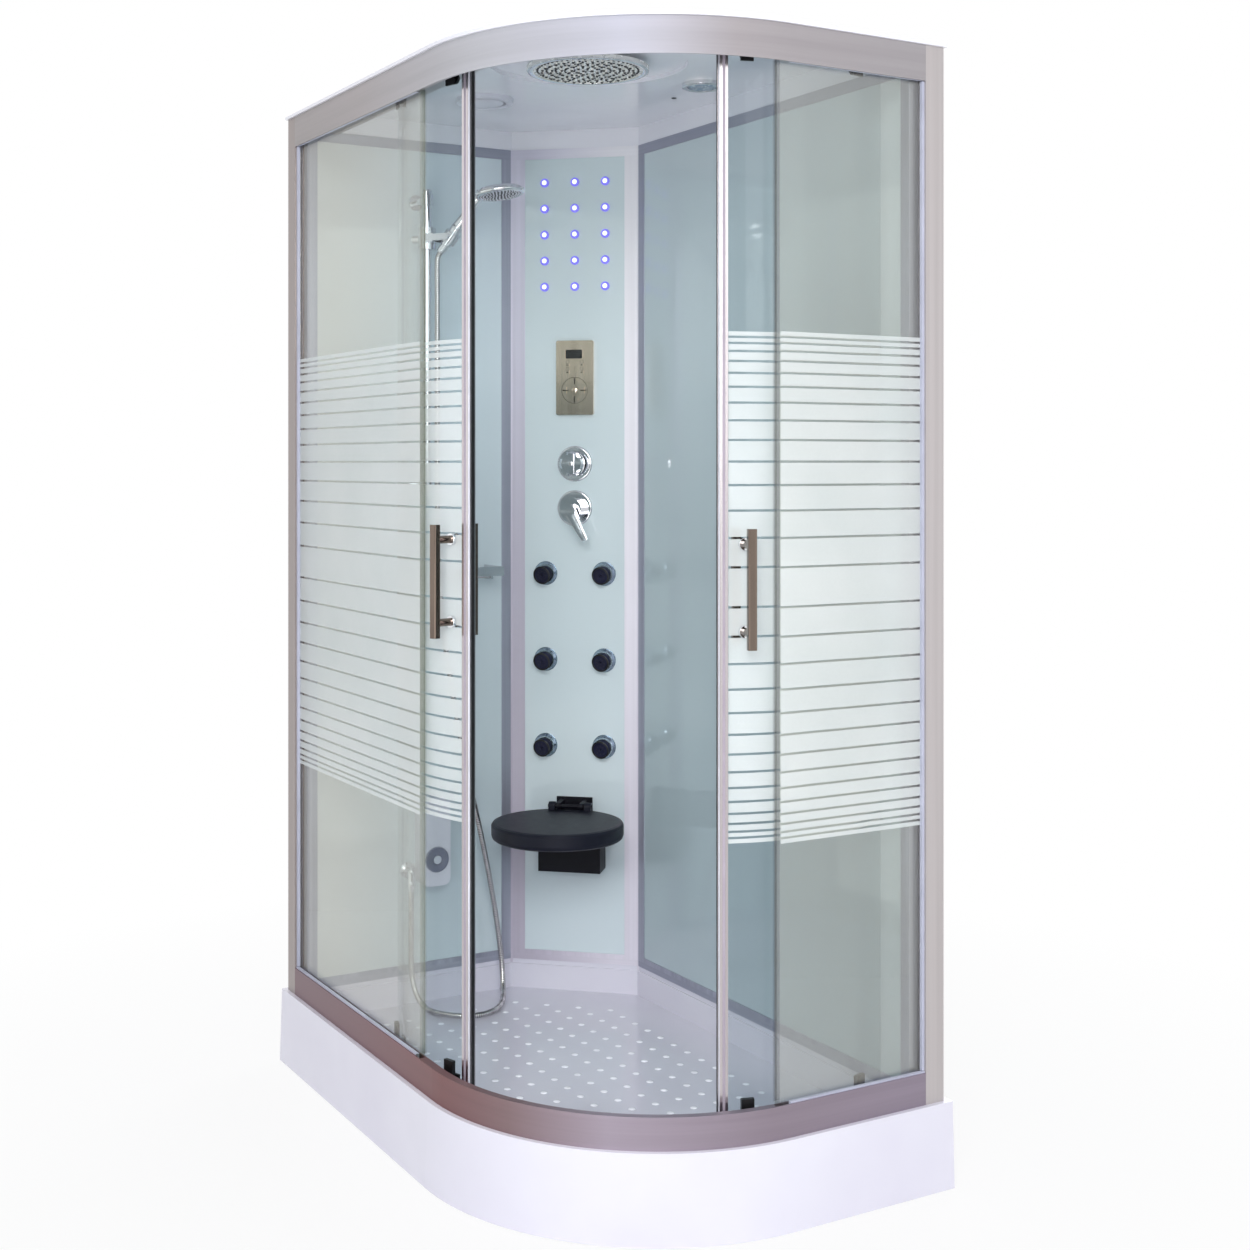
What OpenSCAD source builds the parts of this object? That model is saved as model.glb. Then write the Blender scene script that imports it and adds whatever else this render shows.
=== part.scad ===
// Corner shower cabin with a deep tray, two curved sliding doors and a shower column.
// Millimetres, +Z up. The origin is on the floor under the middle of the tray.
// The room corner is at -X +Y, and the rounded open corner is at +X -Y.

/* [Tray] */
// Length of the tray along the long side
tray_l = 1200; // [1160:10:1300]
// Depth of the tray along the short side
tray_w = 800; // [780:10:880]
// Radius of the rounded front corner
corner_r = 460; // [450:2:470]
// Height of the tray rim above the floor
tray_h = 150; // [135:5:180]
// Height of the upstand that the wall panels stand on, above the rim
upstand_h = 10; // [6:1:16]
// Height of the basin floor above the ground
basin_z = 97; // [85:1:105]
// How far the skirt leans in from its foot to its top
skirt_draft = 5; // [3:1:8]
// Wall of the tray moulding
tray_t = 6; // [5:0.5:8]
// Distance from the tray edge to the inner face of a wall panel
wall_gap = 72; // [68:1:80]

/* [Rails and posts] */
// Distance from the tray edge to the outer face of the rails
rail_inset = 14; // [10:1:18]
// Depth of the bottom rail
bottom_rail_d = 19; // [18:0.5:22]
// Height of the bottom rail
bottom_rail_h = 55; // [45:1:65]
// Depth of the top rail with its wheel ledge
top_rail_d = 87; // [86:0.5:92]
// Height of the lower edge of the top rail
top_rail_z = 1925; // [1850:5:2000]
// Height of the top rail
top_rail_h = 62; // [56:1:70]
// Sheet of the aluminium profiles
rail_t = 3; // [2.5:0.25:3.5]
// Width of the posts on their visible faces
post_w = 40; // [34:1:46]
// Depth of the posts behind their faces
post_d = 46; // [40:1:50]
// Distance from the tray edge to the left post
post_inset = 13; // [10:1:18]

/* [Glass] */
// Thickness of the fixed panes and the doors
glass_t = 6; // [5:0.5:6.5]
// Distance from the rail face to the outer face of a fixed pane
pane_setback = 10; // [9:0.5:11]
// Length of the left pane that ends short of the curve
left_pane_short = 65; // [50:5:90]
// Length of the right pane that reaches past the start of the curve
right_pane_long = 24; // [10:2:30]
// Width of the clear strip on the free edge of a pane
edge_seal_w = 7; // [5:0.5:9]
// Thickness of the back-coated wall glass
wall_glass_t = 5; // [4:0.5:6]

/* [Doors] */
// Distance from the rail face to the middle of the door glass
door_setback = 42; // [41:0.5:44]
// Width of a door along its curve
door_w = 360; // [350:2:370]
// Distance of the leading wheel from the leading edge
lead_wheel_in = 50; // [45:1:60]
// Distance of the trailing wheel from the trailing edge
trail_wheel_in = 80; // [70:1:90]
// Travel of a door along the track, in degrees of the curve
door_travel = 35; // [30:1:36]
// Angle at which the closed doors meet, measured at the centre of the curve
meet_angle = -50; // [-51:0.5:-48]
// Height of the lower edge of the doors above the tray rim
door_rise = 18; // [12:1:24]
// Distance of the door wheels inside the door glass
wheel_offset = 24; // [22:0.5:25]
// Radius of a door wheel
wheel_r = 11; // [9:0.5:12]
// Width of a door wheel
wheel_t = 8; // [7:0.5:9]
// Radius of a wheel axle
axle_r = 3; // [2.5:0.25:3.5]
// Radial clearance of what turns on a pin
run_gap = 0.05; // [0.03:0.01:0.1]
// Width of the leading edge profile
lead_w = 14; // [12:1:16]
// Depth of the leading edge profile
lead_d = 20; // [16:1:22]
// Width of the magnetic seal
seal_w = 3; // [2:0.5:4]

/* [Handles] */
// Height of the middle of the handles
handle_z = 1056; // [950:5:1150]
// Length of a handle bar
handle_l = 198; // [180:2:220]
// Spacing of the two handle pillars
handle_pitch = 145; // [128:1:160]
// Width of a handle bar
handle_w = 15; // [12:1:18]
// Distance of a handle from the leading edge
handle_in = 46; // [40:1:55]
// Radius of a handle pillar
pillar_r = 7; // [5:0.5:9]

/* [Walls] */
// Height of the top of the wall panels
wall_top = 1959; // [1940:1:1965]
// Height of the frame members that hold the wall glass
frame_w = 22; // [18:1:26]
// Depth of the wall frames
frame_d = 20; // [16:1:24]
// How far a frame stands proud of its glass
frame_proud = 2; // [1:0.5:3]
// Leg of the column footprint along the long side
column_a = 192; // [180:2:210]
// Leg of the column footprint along the short side
column_b = 214; // [200:2:230]
// Width of the upright frame members of the column
column_frame_w = 28; // [24:1:30]

/* [Column fittings] */
// Height of the diverter knob
diverter_z = 1261; // [1240:1:1280]
// Height of the mixer
mixer_z = 1163; // [1150:1:1170]
// Radius of a valve plate
plate_r = 39; // [34:1:40]
// Height of the lowest row of body jets
jet_z = 637.5; // [630:0.5:660]
// Vertical pitch of the body jets
jet_pitch = 190.5; // [180:0.5:195]
// Sideways spacing of the body jets
jet_gap = 132; // [120:1:140]
// Radius of the ball of a body jet
jet_ball_r = 17; // [15:0.5:18]
// Outer radius of the ring of a body jet
jet_ring_r = 25; // [22:0.5:27]
// Height of the lowest row of small jets
micro_z = 1653; // [1640:1:1670]
// Vertical pitch of the small jets
micro_pitch_z = 57.75; // [50:0.25:60]
// Sideways pitch of the small jets
micro_pitch = 68.5; // [60:0.5:72]
// Radius of a small jet
micro_r = 9.5; // [8:0.5:11]
// Width of the control panel
panel_w = 84; // [76:1:90]
// Height of the control panel
panel_h = 164; // [150:1:175]
// Height of the middle of the control panel
panel_z = 1451; // [1430:1:1470]

/* [Seat] */
// Diameter of the seat board
seat_dia = 280; // [260:2:290]
// Thickness of the seat board
seat_t = 35; // [28:1:40]
// Height of the top of the seat
seat_z = 505; // [480:1:520]
// Width of the wall box that carries the seat
seat_box_w = 138; // [120:2:150]
// Radius of the seat hinge pin
seat_pin_r = 4; // [3:0.25:5]

/* [Side wall fittings] */
// Height of the upper end of the slide bar
bar_top = 1844; // [1800:2:1880]
// Length of the slide bar
bar_l = 650; // [600:10:700]
// Radius of the slide bar
bar_r = 10; // [8:0.5:12]
// Distance of the slide bar from the wall
bar_out = 60; // [54:1:66]
// Height of the slider at rest
slider_z = 1740; // [1700:2:1760]
// Diameter of the hand shower head
handset_dia = 105; // [90:1:115]
// Outer diameter of the shower hose
hose_dia = 12; // [10:0.5:13]

/* [Roof] */
// Thickness of the roof plate
roof_t = 4; // [3:0.5:5]
// Height of the ceiling above the top rail
ceiling_rise = 13; // [10:1:20]
// Radius of the rain head
rain_r = 113; // [100:1:125]
// Radius of the round recess over the rain head
recess_r = 185; // [150:5:200]
// Radius of the fan ring
fan_r = 57; // [52:1:62]
// Radius of the fan duct spigot
spigot_r = 38; // [32:1:42]
// Radius of the lamp ring
lamp_r = 41; // [36:1:46]

/* [Waste and frame] */
// Radius of the waste outlet pipe
waste_r = 20; // [18:0.5:22]
// Side of the square tubes of the frame under the tray
tube = 25; // [20:1:30]
// Radius of a levelling foot
foot_r = 20; // [16:1:24]
// Radius of the half inch supply threads
inlet_r = 10.48; // [10.4:0.02:10.5]

/* [Hidden] */
$fn = 96;

// Clearance between pieces that only face each other
gap = 0.3;
// Reach of cutting tools past what they cut
eps = 1;

// Centre of the rounded corner
arc_x = tray_l / 2 - corner_r;
arc_y = -tray_w / 2 + corner_r;
// Radii of the front parts about the centre of the rounded corner
rail_r = corner_r - rail_inset;
pane_r = rail_r - pane_setback;
door_r = rail_r - door_setback;
wheel_track_r = door_r - wheel_offset;
rail_in_r = rail_r - bottom_rail_d;
ledge_in_r = rail_r - top_rail_d;
ledge_out_r = door_r - 14;
// Heights
rim_z = tray_h;
wall_z = tray_h + upstand_h;
bottom_rail_top = tray_h + bottom_rail_h;
top_rail_top = top_rail_z + top_rail_h;
ceiling_z = top_rail_top + ceiling_rise;
pane_bottom = bottom_rail_top - 24;
pane_top = top_rail_z + 14;
ledge_z = top_rail_z + 30;
wheel_z = ledge_z + rail_t + wheel_r + gap;
door_bottom = tray_h + door_rise;
door_top = ledge_z - 4;
// Inner faces of the side wall and the back wall
side_x = -tray_l / 2 + wall_gap;
back_y = tray_w / 2 - wall_gap;
// Column face: start point, length and direction
col_x = side_x;
col_y = back_y - column_b;
col_l = norm([column_a, column_b]);
col_dir = atan2(column_b, column_a);
col_mid = col_l / 2 + 1;
// Ends of the straight front parts
post_x = -tray_l / 2 + post_inset + post_w;
post_y = tray_w / 2 - post_inset - post_w;
left_pane_end = arc_x - left_pane_short;
right_pane_end = arc_y - right_pane_long;
front_y = arc_y - rail_r;
right_x = arc_x + rail_r;
// Joints between the wall frames and the column frame
corner_gap = 3;

// Door mechanism. A door is drawn closed, concentric with the rounded corner. Both of its wheels stand on
// the track when it is closed and when it is open, so it swings about the point that carries the pair of
// wheels from the one place to the other.
function at(r, a) = [arc_x + r * cos(a), arc_y + r * sin(a)];
function door_deg(len) = len / door_r * 180 / PI;
function track_at(a) = a >= -90 ? at(wheel_track_r, a)
  : [arc_x + (a + 90) * PI / 180 * wheel_track_r, arc_y - wheel_track_r];
function lead_shut(m) = at(wheel_track_r, m - door_deg(lead_wheel_in));
function trail_shut(m) = at(wheel_track_r, m - door_deg(door_w - trail_wheel_in));
function lead_open(m) = track_at(m - door_deg(lead_wheel_in) - door_travel);
function trail_open(m) =
  let (p = lead_open(m), c = norm(lead_shut(m) - trail_shut(m)), y = arc_y - wheel_track_r)
  [p.x - sqrt(c * c - (p.y - y) * (p.y - y)), y];
function door_pole(m) =
  let (
    d1 = lead_shut(m) - lead_open(m),
    d2 = trail_shut(m) - trail_open(m),
    e1 = d1 * (lead_shut(m) + lead_open(m)) / 2,
    e2 = d2 * (trail_shut(m) + trail_open(m)) / 2,
    det = d1.x * d2.y - d1.y * d2.x
  )
  [(e1 * d2.y - e2 * d1.y) / det, (d1.x * e2 - d2.x * e1) / det];
function bearing(v) = atan2(v.y, v.x);
function door_swing(m) =
  bearing(lead_shut(m) - trail_shut(m)) - bearing(lead_open(m) - trail_open(m));
function turned(p, c, a) = c + [
  (p.x - c.x) * cos(a) - (p.y - c.y) * sin(a),
  (p.x - c.x) * sin(a) + (p.y - c.y) * cos(a)
];
function mirrored(p) = [arc_x - (p.y - arc_y), arc_y - (p.x - arc_x)];
// The right door is the left one seen in a mirror across the middle of the corner
left_meet = meet_angle;
right_meet = -90 - meet_angle;

// Corner points of the area inside the walls, moved inwards by e
function wall_line(e) =
  let (
    n = [sin(col_dir), -cos(col_dir)],
    u = [cos(col_dir), sin(col_dir)],
    a = [col_x, col_y] + e * n + e * (1 - sin(col_dir)) / cos(col_dir) * u,
    b = [col_x + column_a, back_y] + e * n - e * (1 - cos(col_dir)) / sin(col_dir) * u,
    far = tray_l
  )
  [[side_x + e, -far], [far, -far], [far, back_y - e], b, a];

// Outline of the whole footprint, moved inwards by e
module footprint(e) {
  r = corner_r - e;
  translate([-tray_l / 2 + e, -tray_w / 2 + e]) square([arc_x + tray_l / 2 - e, tray_w - 2 * e]);
  translate([arc_x - eps, arc_y]) square([r + eps, tray_w / 2 - e - arc_y]);
  intersection() {
    translate([arc_x, arc_y]) circle(r);
    rect(arc_x - eps, arc_y - r - eps, arc_x + r + eps, arc_y + eps);
  }
}

// Area inside the walls, with its front edge at radius r about the centre of the corner
module room(r, e) {
  intersection() {
    polygon(wall_line(e));
    union() {
      translate([-tray_l, arc_y - r]) square([tray_l + arc_x, tray_w + r]);
      translate([arc_x - eps, arc_y]) square([r + eps, tray_w]);
      translate([arc_x, arc_y]) circle(r);
    }
  }
}

// Sweeps a profile along the front, round the corner and along the right side.
// Profile x is the distance from the centre line of the corner, profile y is the height.
module along_front(x_from, y_to) {
  translate([arc_x, arc_y, 0]) rotate(-90) rotate_extrude(angle = 90) children();
  translate([arc_x, arc_y, 0]) rotate(-90) rotate([90, 0, 0]) linear_extrude(arc_x - x_from) children();
  translate([arc_x, y_to, 0]) rotate([90, 0, 0]) linear_extrude(y_to - arc_y) children();
}

// Straight part of the front rail line and of the right rail line
module along_left(x_from, x_to) {
  translate([x_to, arc_y, 0]) rotate(-90) rotate([90, 0, 0]) linear_extrude(x_to - x_from) children();
}
module along_right(y_from, y_to) {
  translate([arc_x, y_to, 0]) rotate([90, 0, 0]) linear_extrude(y_to - y_from) children();
}

// Rectangle from corner (x0, y0) to corner (x1, y1)
module rect(x0, y0, x1, y1) {
  translate([x0, y0]) square([x1 - x0, y1 - y0]);
}

// Box from corner a to corner b
module box(a, b) {
  translate(a) cube(b - a);
}

// Rectangle of width w and height h about the origin with round corners
module soft_rect(w, h, r) {
  square([w - 2 * r, h], center = true);
  square([w, h - 2 * r], center = true);
  for (x = [-1, 1], y = [-1, 1])
    translate([x * (w / 2 - r), y * (h / 2 - r)]) circle(r);
}

// Places on the walls: x runs along the wall, y is zero on the inner face and grows behind it
side_y0 = arc_y - pane_r + glass_t + 4;
back_x0 = col_x + column_a;
side_l = col_y - corner_gap - side_y0;
back_l = right_x - pane_setback - glass_t - 4 - back_x0;
module on_side() translate([side_x, side_y0, 0]) rotate(90) children();
module on_column() translate([col_x, col_y, 0]) rotate(col_dir) children();
module on_back() translate([back_x0, back_y, 0]) children();
// Turns z out of the wall into the cabin, at a place along the wall and a height
module facing(s, z) translate([s, 0, z]) rotate([90, 0, 0]) children();

// Tray moulding: skirt, rim, upstand under the walls, basin and drain hole
drain_x = tray_l / 2 - 165;
drain_y = 180;
drain_hole_r = 45;
basin_r = rail_r - 66;
basin_e = 4;
outlet_z = 43;
skirt_e = tray_t + skirt_draft;
module tray() {
  color("white")
  difference() {
    union() {
      linear_extrude(rim_z) footprint(0);
      linear_extrude(wall_z) difference() {
        intersection() {
          footprint(0);
          rect(-tray_l / 2, front_y + post_d + gap, right_x - post_d - gap, tray_w / 2);
        }
        polygon(wall_line(0));
      }
    }
    along_front(-tray_l / 2 - eps, tray_w / 2 + eps)
      polygon([[corner_r, 0], [corner_r - skirt_draft, rim_z], [corner_r - skirt_draft, rim_z + 1],
        [corner_r + 40, rim_z + 1], [corner_r + 40, 0]]);
    translate([0, 0, basin_z]) linear_extrude(rim_z) room(basin_r, basin_e);
    translate([0, 0, -eps]) linear_extrude(basin_z - tray_t + eps) footprint(skirt_e);
    translate([0, 0, -eps]) linear_extrude(rim_z - tray_t + eps) difference() {
      footprint(skirt_e);
      room(basin_r + tray_t, basin_e - tray_t);
    }
    translate([drain_x, drain_y, 0]) cylinder(r = drain_hole_r, h = tray_h);
    translate([drain_x, tray_w / 2 + eps, outlet_z]) rotate([90, 0, 0]) cylinder(r = waste_r + 4, h = 40);
  }
}

// Welded frame of square tube under the tray, with its levelling feet
frame_z = basin_z - tray_t - tube;
foot_h = 12;
rear_tube_y = tray_w / 2 - 150;
front_tube_y = -tray_w / 2 + 150;
cross_xs = [-tray_l / 2 + 95, -80, tray_l / 2 - 260];
tube_t = 2;
module frame_tubes(e) {
  for (y = [front_tube_y, rear_tube_y])
    box([-tray_l / 2 + 40 + e, y - tube / 2 + e, frame_z + e],
      [arc_x + 300 - e, y + tube / 2 - e, frame_z + tube - e]);
  for (x = cross_xs)
    box([x - tube / 2 + e, front_tube_y, frame_z + e], [x + tube / 2 - e, rear_tube_y, frame_z + tube - e]);
}
module undertray_frame() {
  color("gray") difference() {
    frame_tubes(0);
    frame_tubes(tube_t);
  }
  color("dimgray") for (x = cross_xs, y = [front_tube_y, rear_tube_y]) translate([x, y, 0]) {
    cylinder(r = foot_r, h = foot_h);
    cylinder(r = 5, h = frame_z + tube / 2);
    translate([0, 0, frame_z - 8]) cylinder(r = 9.5, h = 8, $fn = 6);
  }
}

// Waste trap under the basin, with the outlet pipe to the back and the spigot on its end
trap_r = 36;
trap_wall = 3;
spigot_l = 40;
outlet_end = tray_w / 2 - 2;
module waste_trap() {
  color("gainsboro") difference() {
    union() {
      translate([drain_x, drain_y, 0]) {
        translate([0, 0, basin_z]) cylinder(r = drain_hole_r + 6, h = 2);
        translate([0, 0, 20]) cylinder(r = trap_r, h = basin_z - 20);
        translate([0, 0, basin_z - tray_t - 6]) cylinder(r = drain_hole_r + 6, h = 6);
        translate([0, 0, basin_z - tray_t]) cylinder(r = drain_hole_r - gap, h = tray_t);
      }
      translate([drain_x, drain_y, outlet_z]) rotate([-90, 0, 0])
        cylinder(r = waste_r + 2, h = outlet_end - spigot_l - drain_y);
      translate([drain_x, drain_y, outlet_z]) rotate([-90, 0, 0])
        cylinder(r = waste_r, h = outlet_end - drain_y);
    }
    translate([drain_x, drain_y, 20 + trap_wall]) cylinder(r = trap_r - trap_wall, h = tray_h);
    translate([drain_x, drain_y, outlet_z]) rotate([-90, 0, 0]) cylinder(r = waste_r - 2.5, h = tray_w);
  }
}

// Round cover that drops into the waste flange
module drain_cover() {
  color("silver") translate([drain_x, drain_y, basin_z + 2]) {
    difference() {
      cylinder(r = drain_hole_r + 8, h = 3);
      for (a = [0:45:315]) rotate(a) translate([drain_hole_r - 12, 0, -eps]) cylinder(r = 4, h = 3 + 2 * eps);
    }
    translate([0, 0, -12]) cylinder(r = trap_r - 8, h = 12);
  }
}

// Aluminium rail on the tray rim, with the channel for the fixed panes and a cover across the doorway
channel_in_r = rail_in_r + 2.5;
doorway_end = asin((right_pane_long + 2) / pane_r);
module bottom_rail() {
  color("rosybrown") {
    along_front(post_x, post_y) union() {
      rect(rail_in_r, rim_z, rail_r, rim_z + rail_t);
      rect(rail_r - rail_t, rim_z, rail_r, bottom_rail_top);
      rect(rail_in_r, rim_z, channel_in_r, bottom_rail_top - 2);
      rect(rail_in_r, pane_bottom - gap - rail_t, rail_r, pane_bottom - gap);
    }
    translate([arc_x, arc_y, 0]) rotate(-90) rotate_extrude(angle = 90 - doorway_end)
      rect(channel_in_r - 1, bottom_rail_top - 10, rail_r - rail_t + 1, bottom_rail_top - 2);
    along_left(left_pane_end + 2, arc_x)
      rect(channel_in_r - 1, bottom_rail_top - 10, rail_r - rail_t + 1, bottom_rail_top - 2);
  }
}

// Aluminium rail overhead: fascia, channel for the fixed panes and ledge for the door wheels
lip_r = pane_r - glass_t - 0.5;
module top_rail() {
  color("rosybrown") difference() {
    along_front(post_x, post_y) union() {
      rect(rail_r - rail_t, top_rail_z, rail_r, top_rail_top);
      rect(ledge_in_r, top_rail_top - rail_t, rail_r, top_rail_top);
      rect(ledge_in_r, ledge_z, ledge_in_r + rail_t, top_rail_top);
      rect(ledge_in_r, ledge_z, ledge_out_r, ledge_z + rail_t);
      rect(lip_r - rail_t, pane_top - 8, lip_r, pane_top + 1 + rail_t);
      rect(lip_r - rail_t, pane_top + 1, rail_r, pane_top + 1 + rail_t);
    }
    box([side_x - frame_d + frame_proud - gap, side_y0 - gap, ledge_z - eps],
      [side_x + frame_proud + gap, side_y0 + side_l, wall_top + gap]);
    box([back_x0, back_y - frame_proud - gap, ledge_z - eps],
      [back_x0 + back_l + gap, back_y + frame_d - frame_proud + gap, wall_top + gap]);
  }
}

// Upright post on the side wall, slotted for the left pane
pane_in = 8;
post_core = pane_setback + glass_t + gap + rail_t;
module left_post() {
  color("rosybrown") difference() {
    box([post_x - post_w, front_y, rim_z], [post_x, front_y + post_d, top_rail_top]);
    box([post_x - pane_in - gap, arc_y - pane_r - gap, pane_bottom - gap],
      [post_x + eps, arc_y - pane_r + glass_t + gap, pane_top + gap]);
    box([post_x - post_w + rail_t, front_y + post_core, rim_z - eps],
      [post_x - rail_t, front_y + post_d - rail_t, top_rail_top + eps]);
  }
}

// Upright post on the back wall, slotted for the right pane
module right_post() {
  color("rosybrown") difference() {
    box([right_x - post_d, post_y, rim_z], [right_x, post_y + post_w, top_rail_top]);
    box([arc_x + pane_r - glass_t - gap, post_y - eps, pane_bottom - gap],
      [arc_x + pane_r + gap, post_y + pane_in + gap, pane_top + gap]);
    box([right_x - post_d + rail_t, post_y + rail_t, rim_z - eps],
      [right_x - post_core, post_y + post_w - rail_t, top_rail_top + eps]);
  }
}

// Straight panes of clear glass
module left_fixed_glass() {
  color("lightcyan", 0.4) box([post_x - pane_in, arc_y - pane_r, pane_bottom],
    [left_pane_end, arc_y - pane_r + glass_t, pane_top]);
}
module right_fixed_glass() {
  color("lightcyan", 0.4) box([arc_x + pane_r - glass_t, right_pane_end, pane_bottom],
    [arc_x + pane_r, post_y + pane_in, pane_top]);
}

// Gaskets beside the panes in the rails and posts, and the strips on their free edges
gasket_r = pane_r + 1;
module gasket_profiles() {
  rect(gasket_r, pane_bottom + 4, rail_r - rail_t, bottom_rail_top + 3);
  rect(gasket_r, top_rail_z, rail_r - rail_t, pane_top - 1);
}
module edge_strip() {
  difference() {
    box([-2, -2, bottom_rail_top + 4], [edge_seal_w - 2, glass_t + 2, top_rail_z + 2]);
    box([-gap / 10, -gap / 10, tray_h], [edge_seal_w, glass_t + gap / 10, top_rail_top]);
  }
}
module glazing_seals() {
  color("lightsteelblue") {
    along_left(post_x + 0.1, left_pane_end - edge_seal_w) gasket_profiles();
    along_right(arc_y, post_y - 0.1) gasket_profiles();
    box([post_x, front_y + 4, bottom_rail_top + 4], [post_x + 5, arc_y - pane_r, top_rail_z - 1]);
    box([arc_x + pane_r, post_y - 5, bottom_rail_top + 4], [right_x - 4, post_y, top_rail_z - 1]);
  }
  color("gainsboro") {
    translate([left_pane_end, arc_y - pane_r, 0]) mirror([1, 0, 0]) edge_strip();
    translate([arc_x + pane_r, right_pane_end, 0]) rotate(90) edge_strip();
  }
}

// Back-coated glass of a wall, held in the slot of its frame
glass_in = 8;
module wall_pane(x0, x1, stile) {
  box([x0 + stile - glass_in, 0, wall_z + frame_w - glass_in],
    [x1 - stile + glass_in, wall_glass_t, wall_top - frame_w + glass_in]);
}
module wall_frame(x0, x1, stile) {
  difference() {
    box([x0, -frame_proud, wall_z], [x1, frame_d - frame_proud, wall_top]);
    box([x0 + stile, -frame_d, wall_z + frame_w], [x1 - stile, 2 * frame_d, wall_top - frame_w]);
    box([x0 + stile - glass_in - gap, 0, wall_z + frame_w - glass_in - gap],
      [x1 - stile + glass_in + gap, wall_glass_t + gap, wall_top - frame_w + glass_in + gap]);
  }
}
// Places along the side wall of the feed to the hand shower and of the foot unit
outlet_y = -140;
outlet_wall_z = 386;
foot_y0 = -121;
foot_w = 64;
foot_z0 = 354;
foot_unit_h = 190;
module side_wall_glass() {
  color("lightblue") on_side() difference() {
    wall_pane(0, side_l, frame_w);
    translate([outlet_y - side_y0, -eps, outlet_wall_z]) rotate([-90, 0, 0]) cylinder(r = 8.5, h = 20);
    translate([foot_y0 + foot_w / 2 - side_y0, -eps, outlet_wall_z]) rotate([-90, 0, 0])
      cylinder(r = 8.5, h = 20);
  }
}
module back_wall_glass() {
  color("lightblue") on_back() wall_pane(corner_gap, back_l, frame_w);
}
module side_wall_frame() {
  color("silver") on_side() wall_frame(0, side_l, frame_w);
}
module back_wall_frame() {
  color("silver") on_back() wall_frame(corner_gap, back_l, frame_w);
}
module column_frame() {
  color("silver") on_column() wall_frame(corner_gap, col_l - corner_gap, column_frame_w);
}

// Places of the body jets and the small jets on the column
jets = [for (row = [2:-1:0], side = [-1, 1]) [col_mid + side * jet_gap / 2, jet_z + row * jet_pitch]];
micros = [for (row = [0:4], k = [-1:1]) [col_mid + k * micro_pitch, micro_z + row * micro_pitch_z]];
valve_body_r = 16;
jet_tail_r = jet_ball_r + 4;
micro_stem_r = 4.5;
cable_r = 7;
module column_glass() {
  color("lightblue") on_column() difference() {
    wall_pane(corner_gap, col_l - corner_gap, column_frame_w);
    for (z = [diverter_z, mixer_z]) facing(col_mid, z) translate([0, 0, -20])
      cylinder(r = valve_body_r + gap, h = 40);
    for (p = jets) facing(p[0], p[1]) translate([0, 0, -20]) cylinder(r = jet_tail_r + gap, h = 40);
    for (p = micros) facing(p[0], p[1]) translate([0, 0, -20]) cylinder(r = micro_stem_r + gap, h = 40);
    facing(col_mid, panel_z) translate([0, 0, -20]) cylinder(r = cable_r + gap, h = 40);
  }
}

// Roof moulding: plate on the rails, raised ceiling with a round recess, and cove down to the wall tops
roof_lip = 5;
rain_p = [125, -64];
fan_p = [-245, -93];
lamp_p = [90, 214];
recess_h = 8;
head_z = ceiling_z - 15;
riser_s = col_mid;
riser_b = 60;
module roof() {
  color("white") difference() {
    union() {
      translate([0, 0, top_rail_top]) linear_extrude(ceiling_rise + roof_t) room(ledge_in_r, -roof_t - gap);
      translate([0, 0, top_rail_top]) linear_extrude(roof_t + 2) footprint(rail_inset - roof_lip);
      translate([0, 0, wall_top]) linear_extrude(top_rail_top - wall_top + eps) difference() {
        polygon(wall_line(-roof_t - gap));
        polygon(wall_line(-gap));
        rect(-tray_l, -tray_l - eps, tray_l + eps, arc_y - ledge_in_r + gap);
        rect(arc_x + ledge_in_r - gap, -tray_w, tray_l + eps, tray_w);
      }
      translate([rain_p.x, rain_p.y, top_rail_top])
        cylinder(r = recess_r + roof_t, h = ceiling_rise + recess_h + roof_t);
    }
    translate([0, 0, wall_top - eps]) linear_extrude(ceiling_z - wall_top + eps)
      room(ledge_in_r - roof_t, -gap);
    translate([rain_p.x, rain_p.y, top_rail_top - eps])
      cylinder(r = recess_r, h = ceiling_rise + recess_h + eps);
    translate([fan_p.x, fan_p.y, ceiling_z - 5]) cylinder(r = fan_r - 5, h = 60);
    translate([lamp_p.x, lamp_p.y, ceiling_z - 5]) cylinder(r = lamp_r - 8, h = 60);
    translate([rain_p.x, rain_p.y, ceiling_z - 5]) cylinder(r = 12, h = 60);
    on_column() translate([riser_s, riser_b, wall_top]) cylinder(r = 10, h = 100);
  }
}

// Perforated rain head with its neck through the roof
neck_top = ceiling_z + recess_h + roof_t + 14;
module rain_head() {
  color("silver") translate([rain_p.x, rain_p.y, 0]) {
    difference() {
      union() {
        translate([0, 0, head_z]) cylinder(r = rain_r, h = 8);
        translate([0, 0, head_z + 8]) cylinder(r1 = rain_r - 4, r2 = 26, h = 8);
      }
      translate([0, 0, head_z - eps]) cylinder(r = rain_r - 12, h = 2 + eps);
    }
    translate([0, 0, head_z + 10]) cylinder(r = 11.5, h = neck_top - head_z - 10);
    translate([0, 0, ceiling_z + recess_h + roof_t]) cylinder(r = 17, h = 6, $fn = 6);
    for (ring = [1:5], k = [0:6 * ring - 1]) rotate(k * 60 / ring) translate([ring * 17, 0, head_z - 1.5])
      cylinder(r = 2.2, h = 4, $fn = 6);
  }
}

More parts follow.
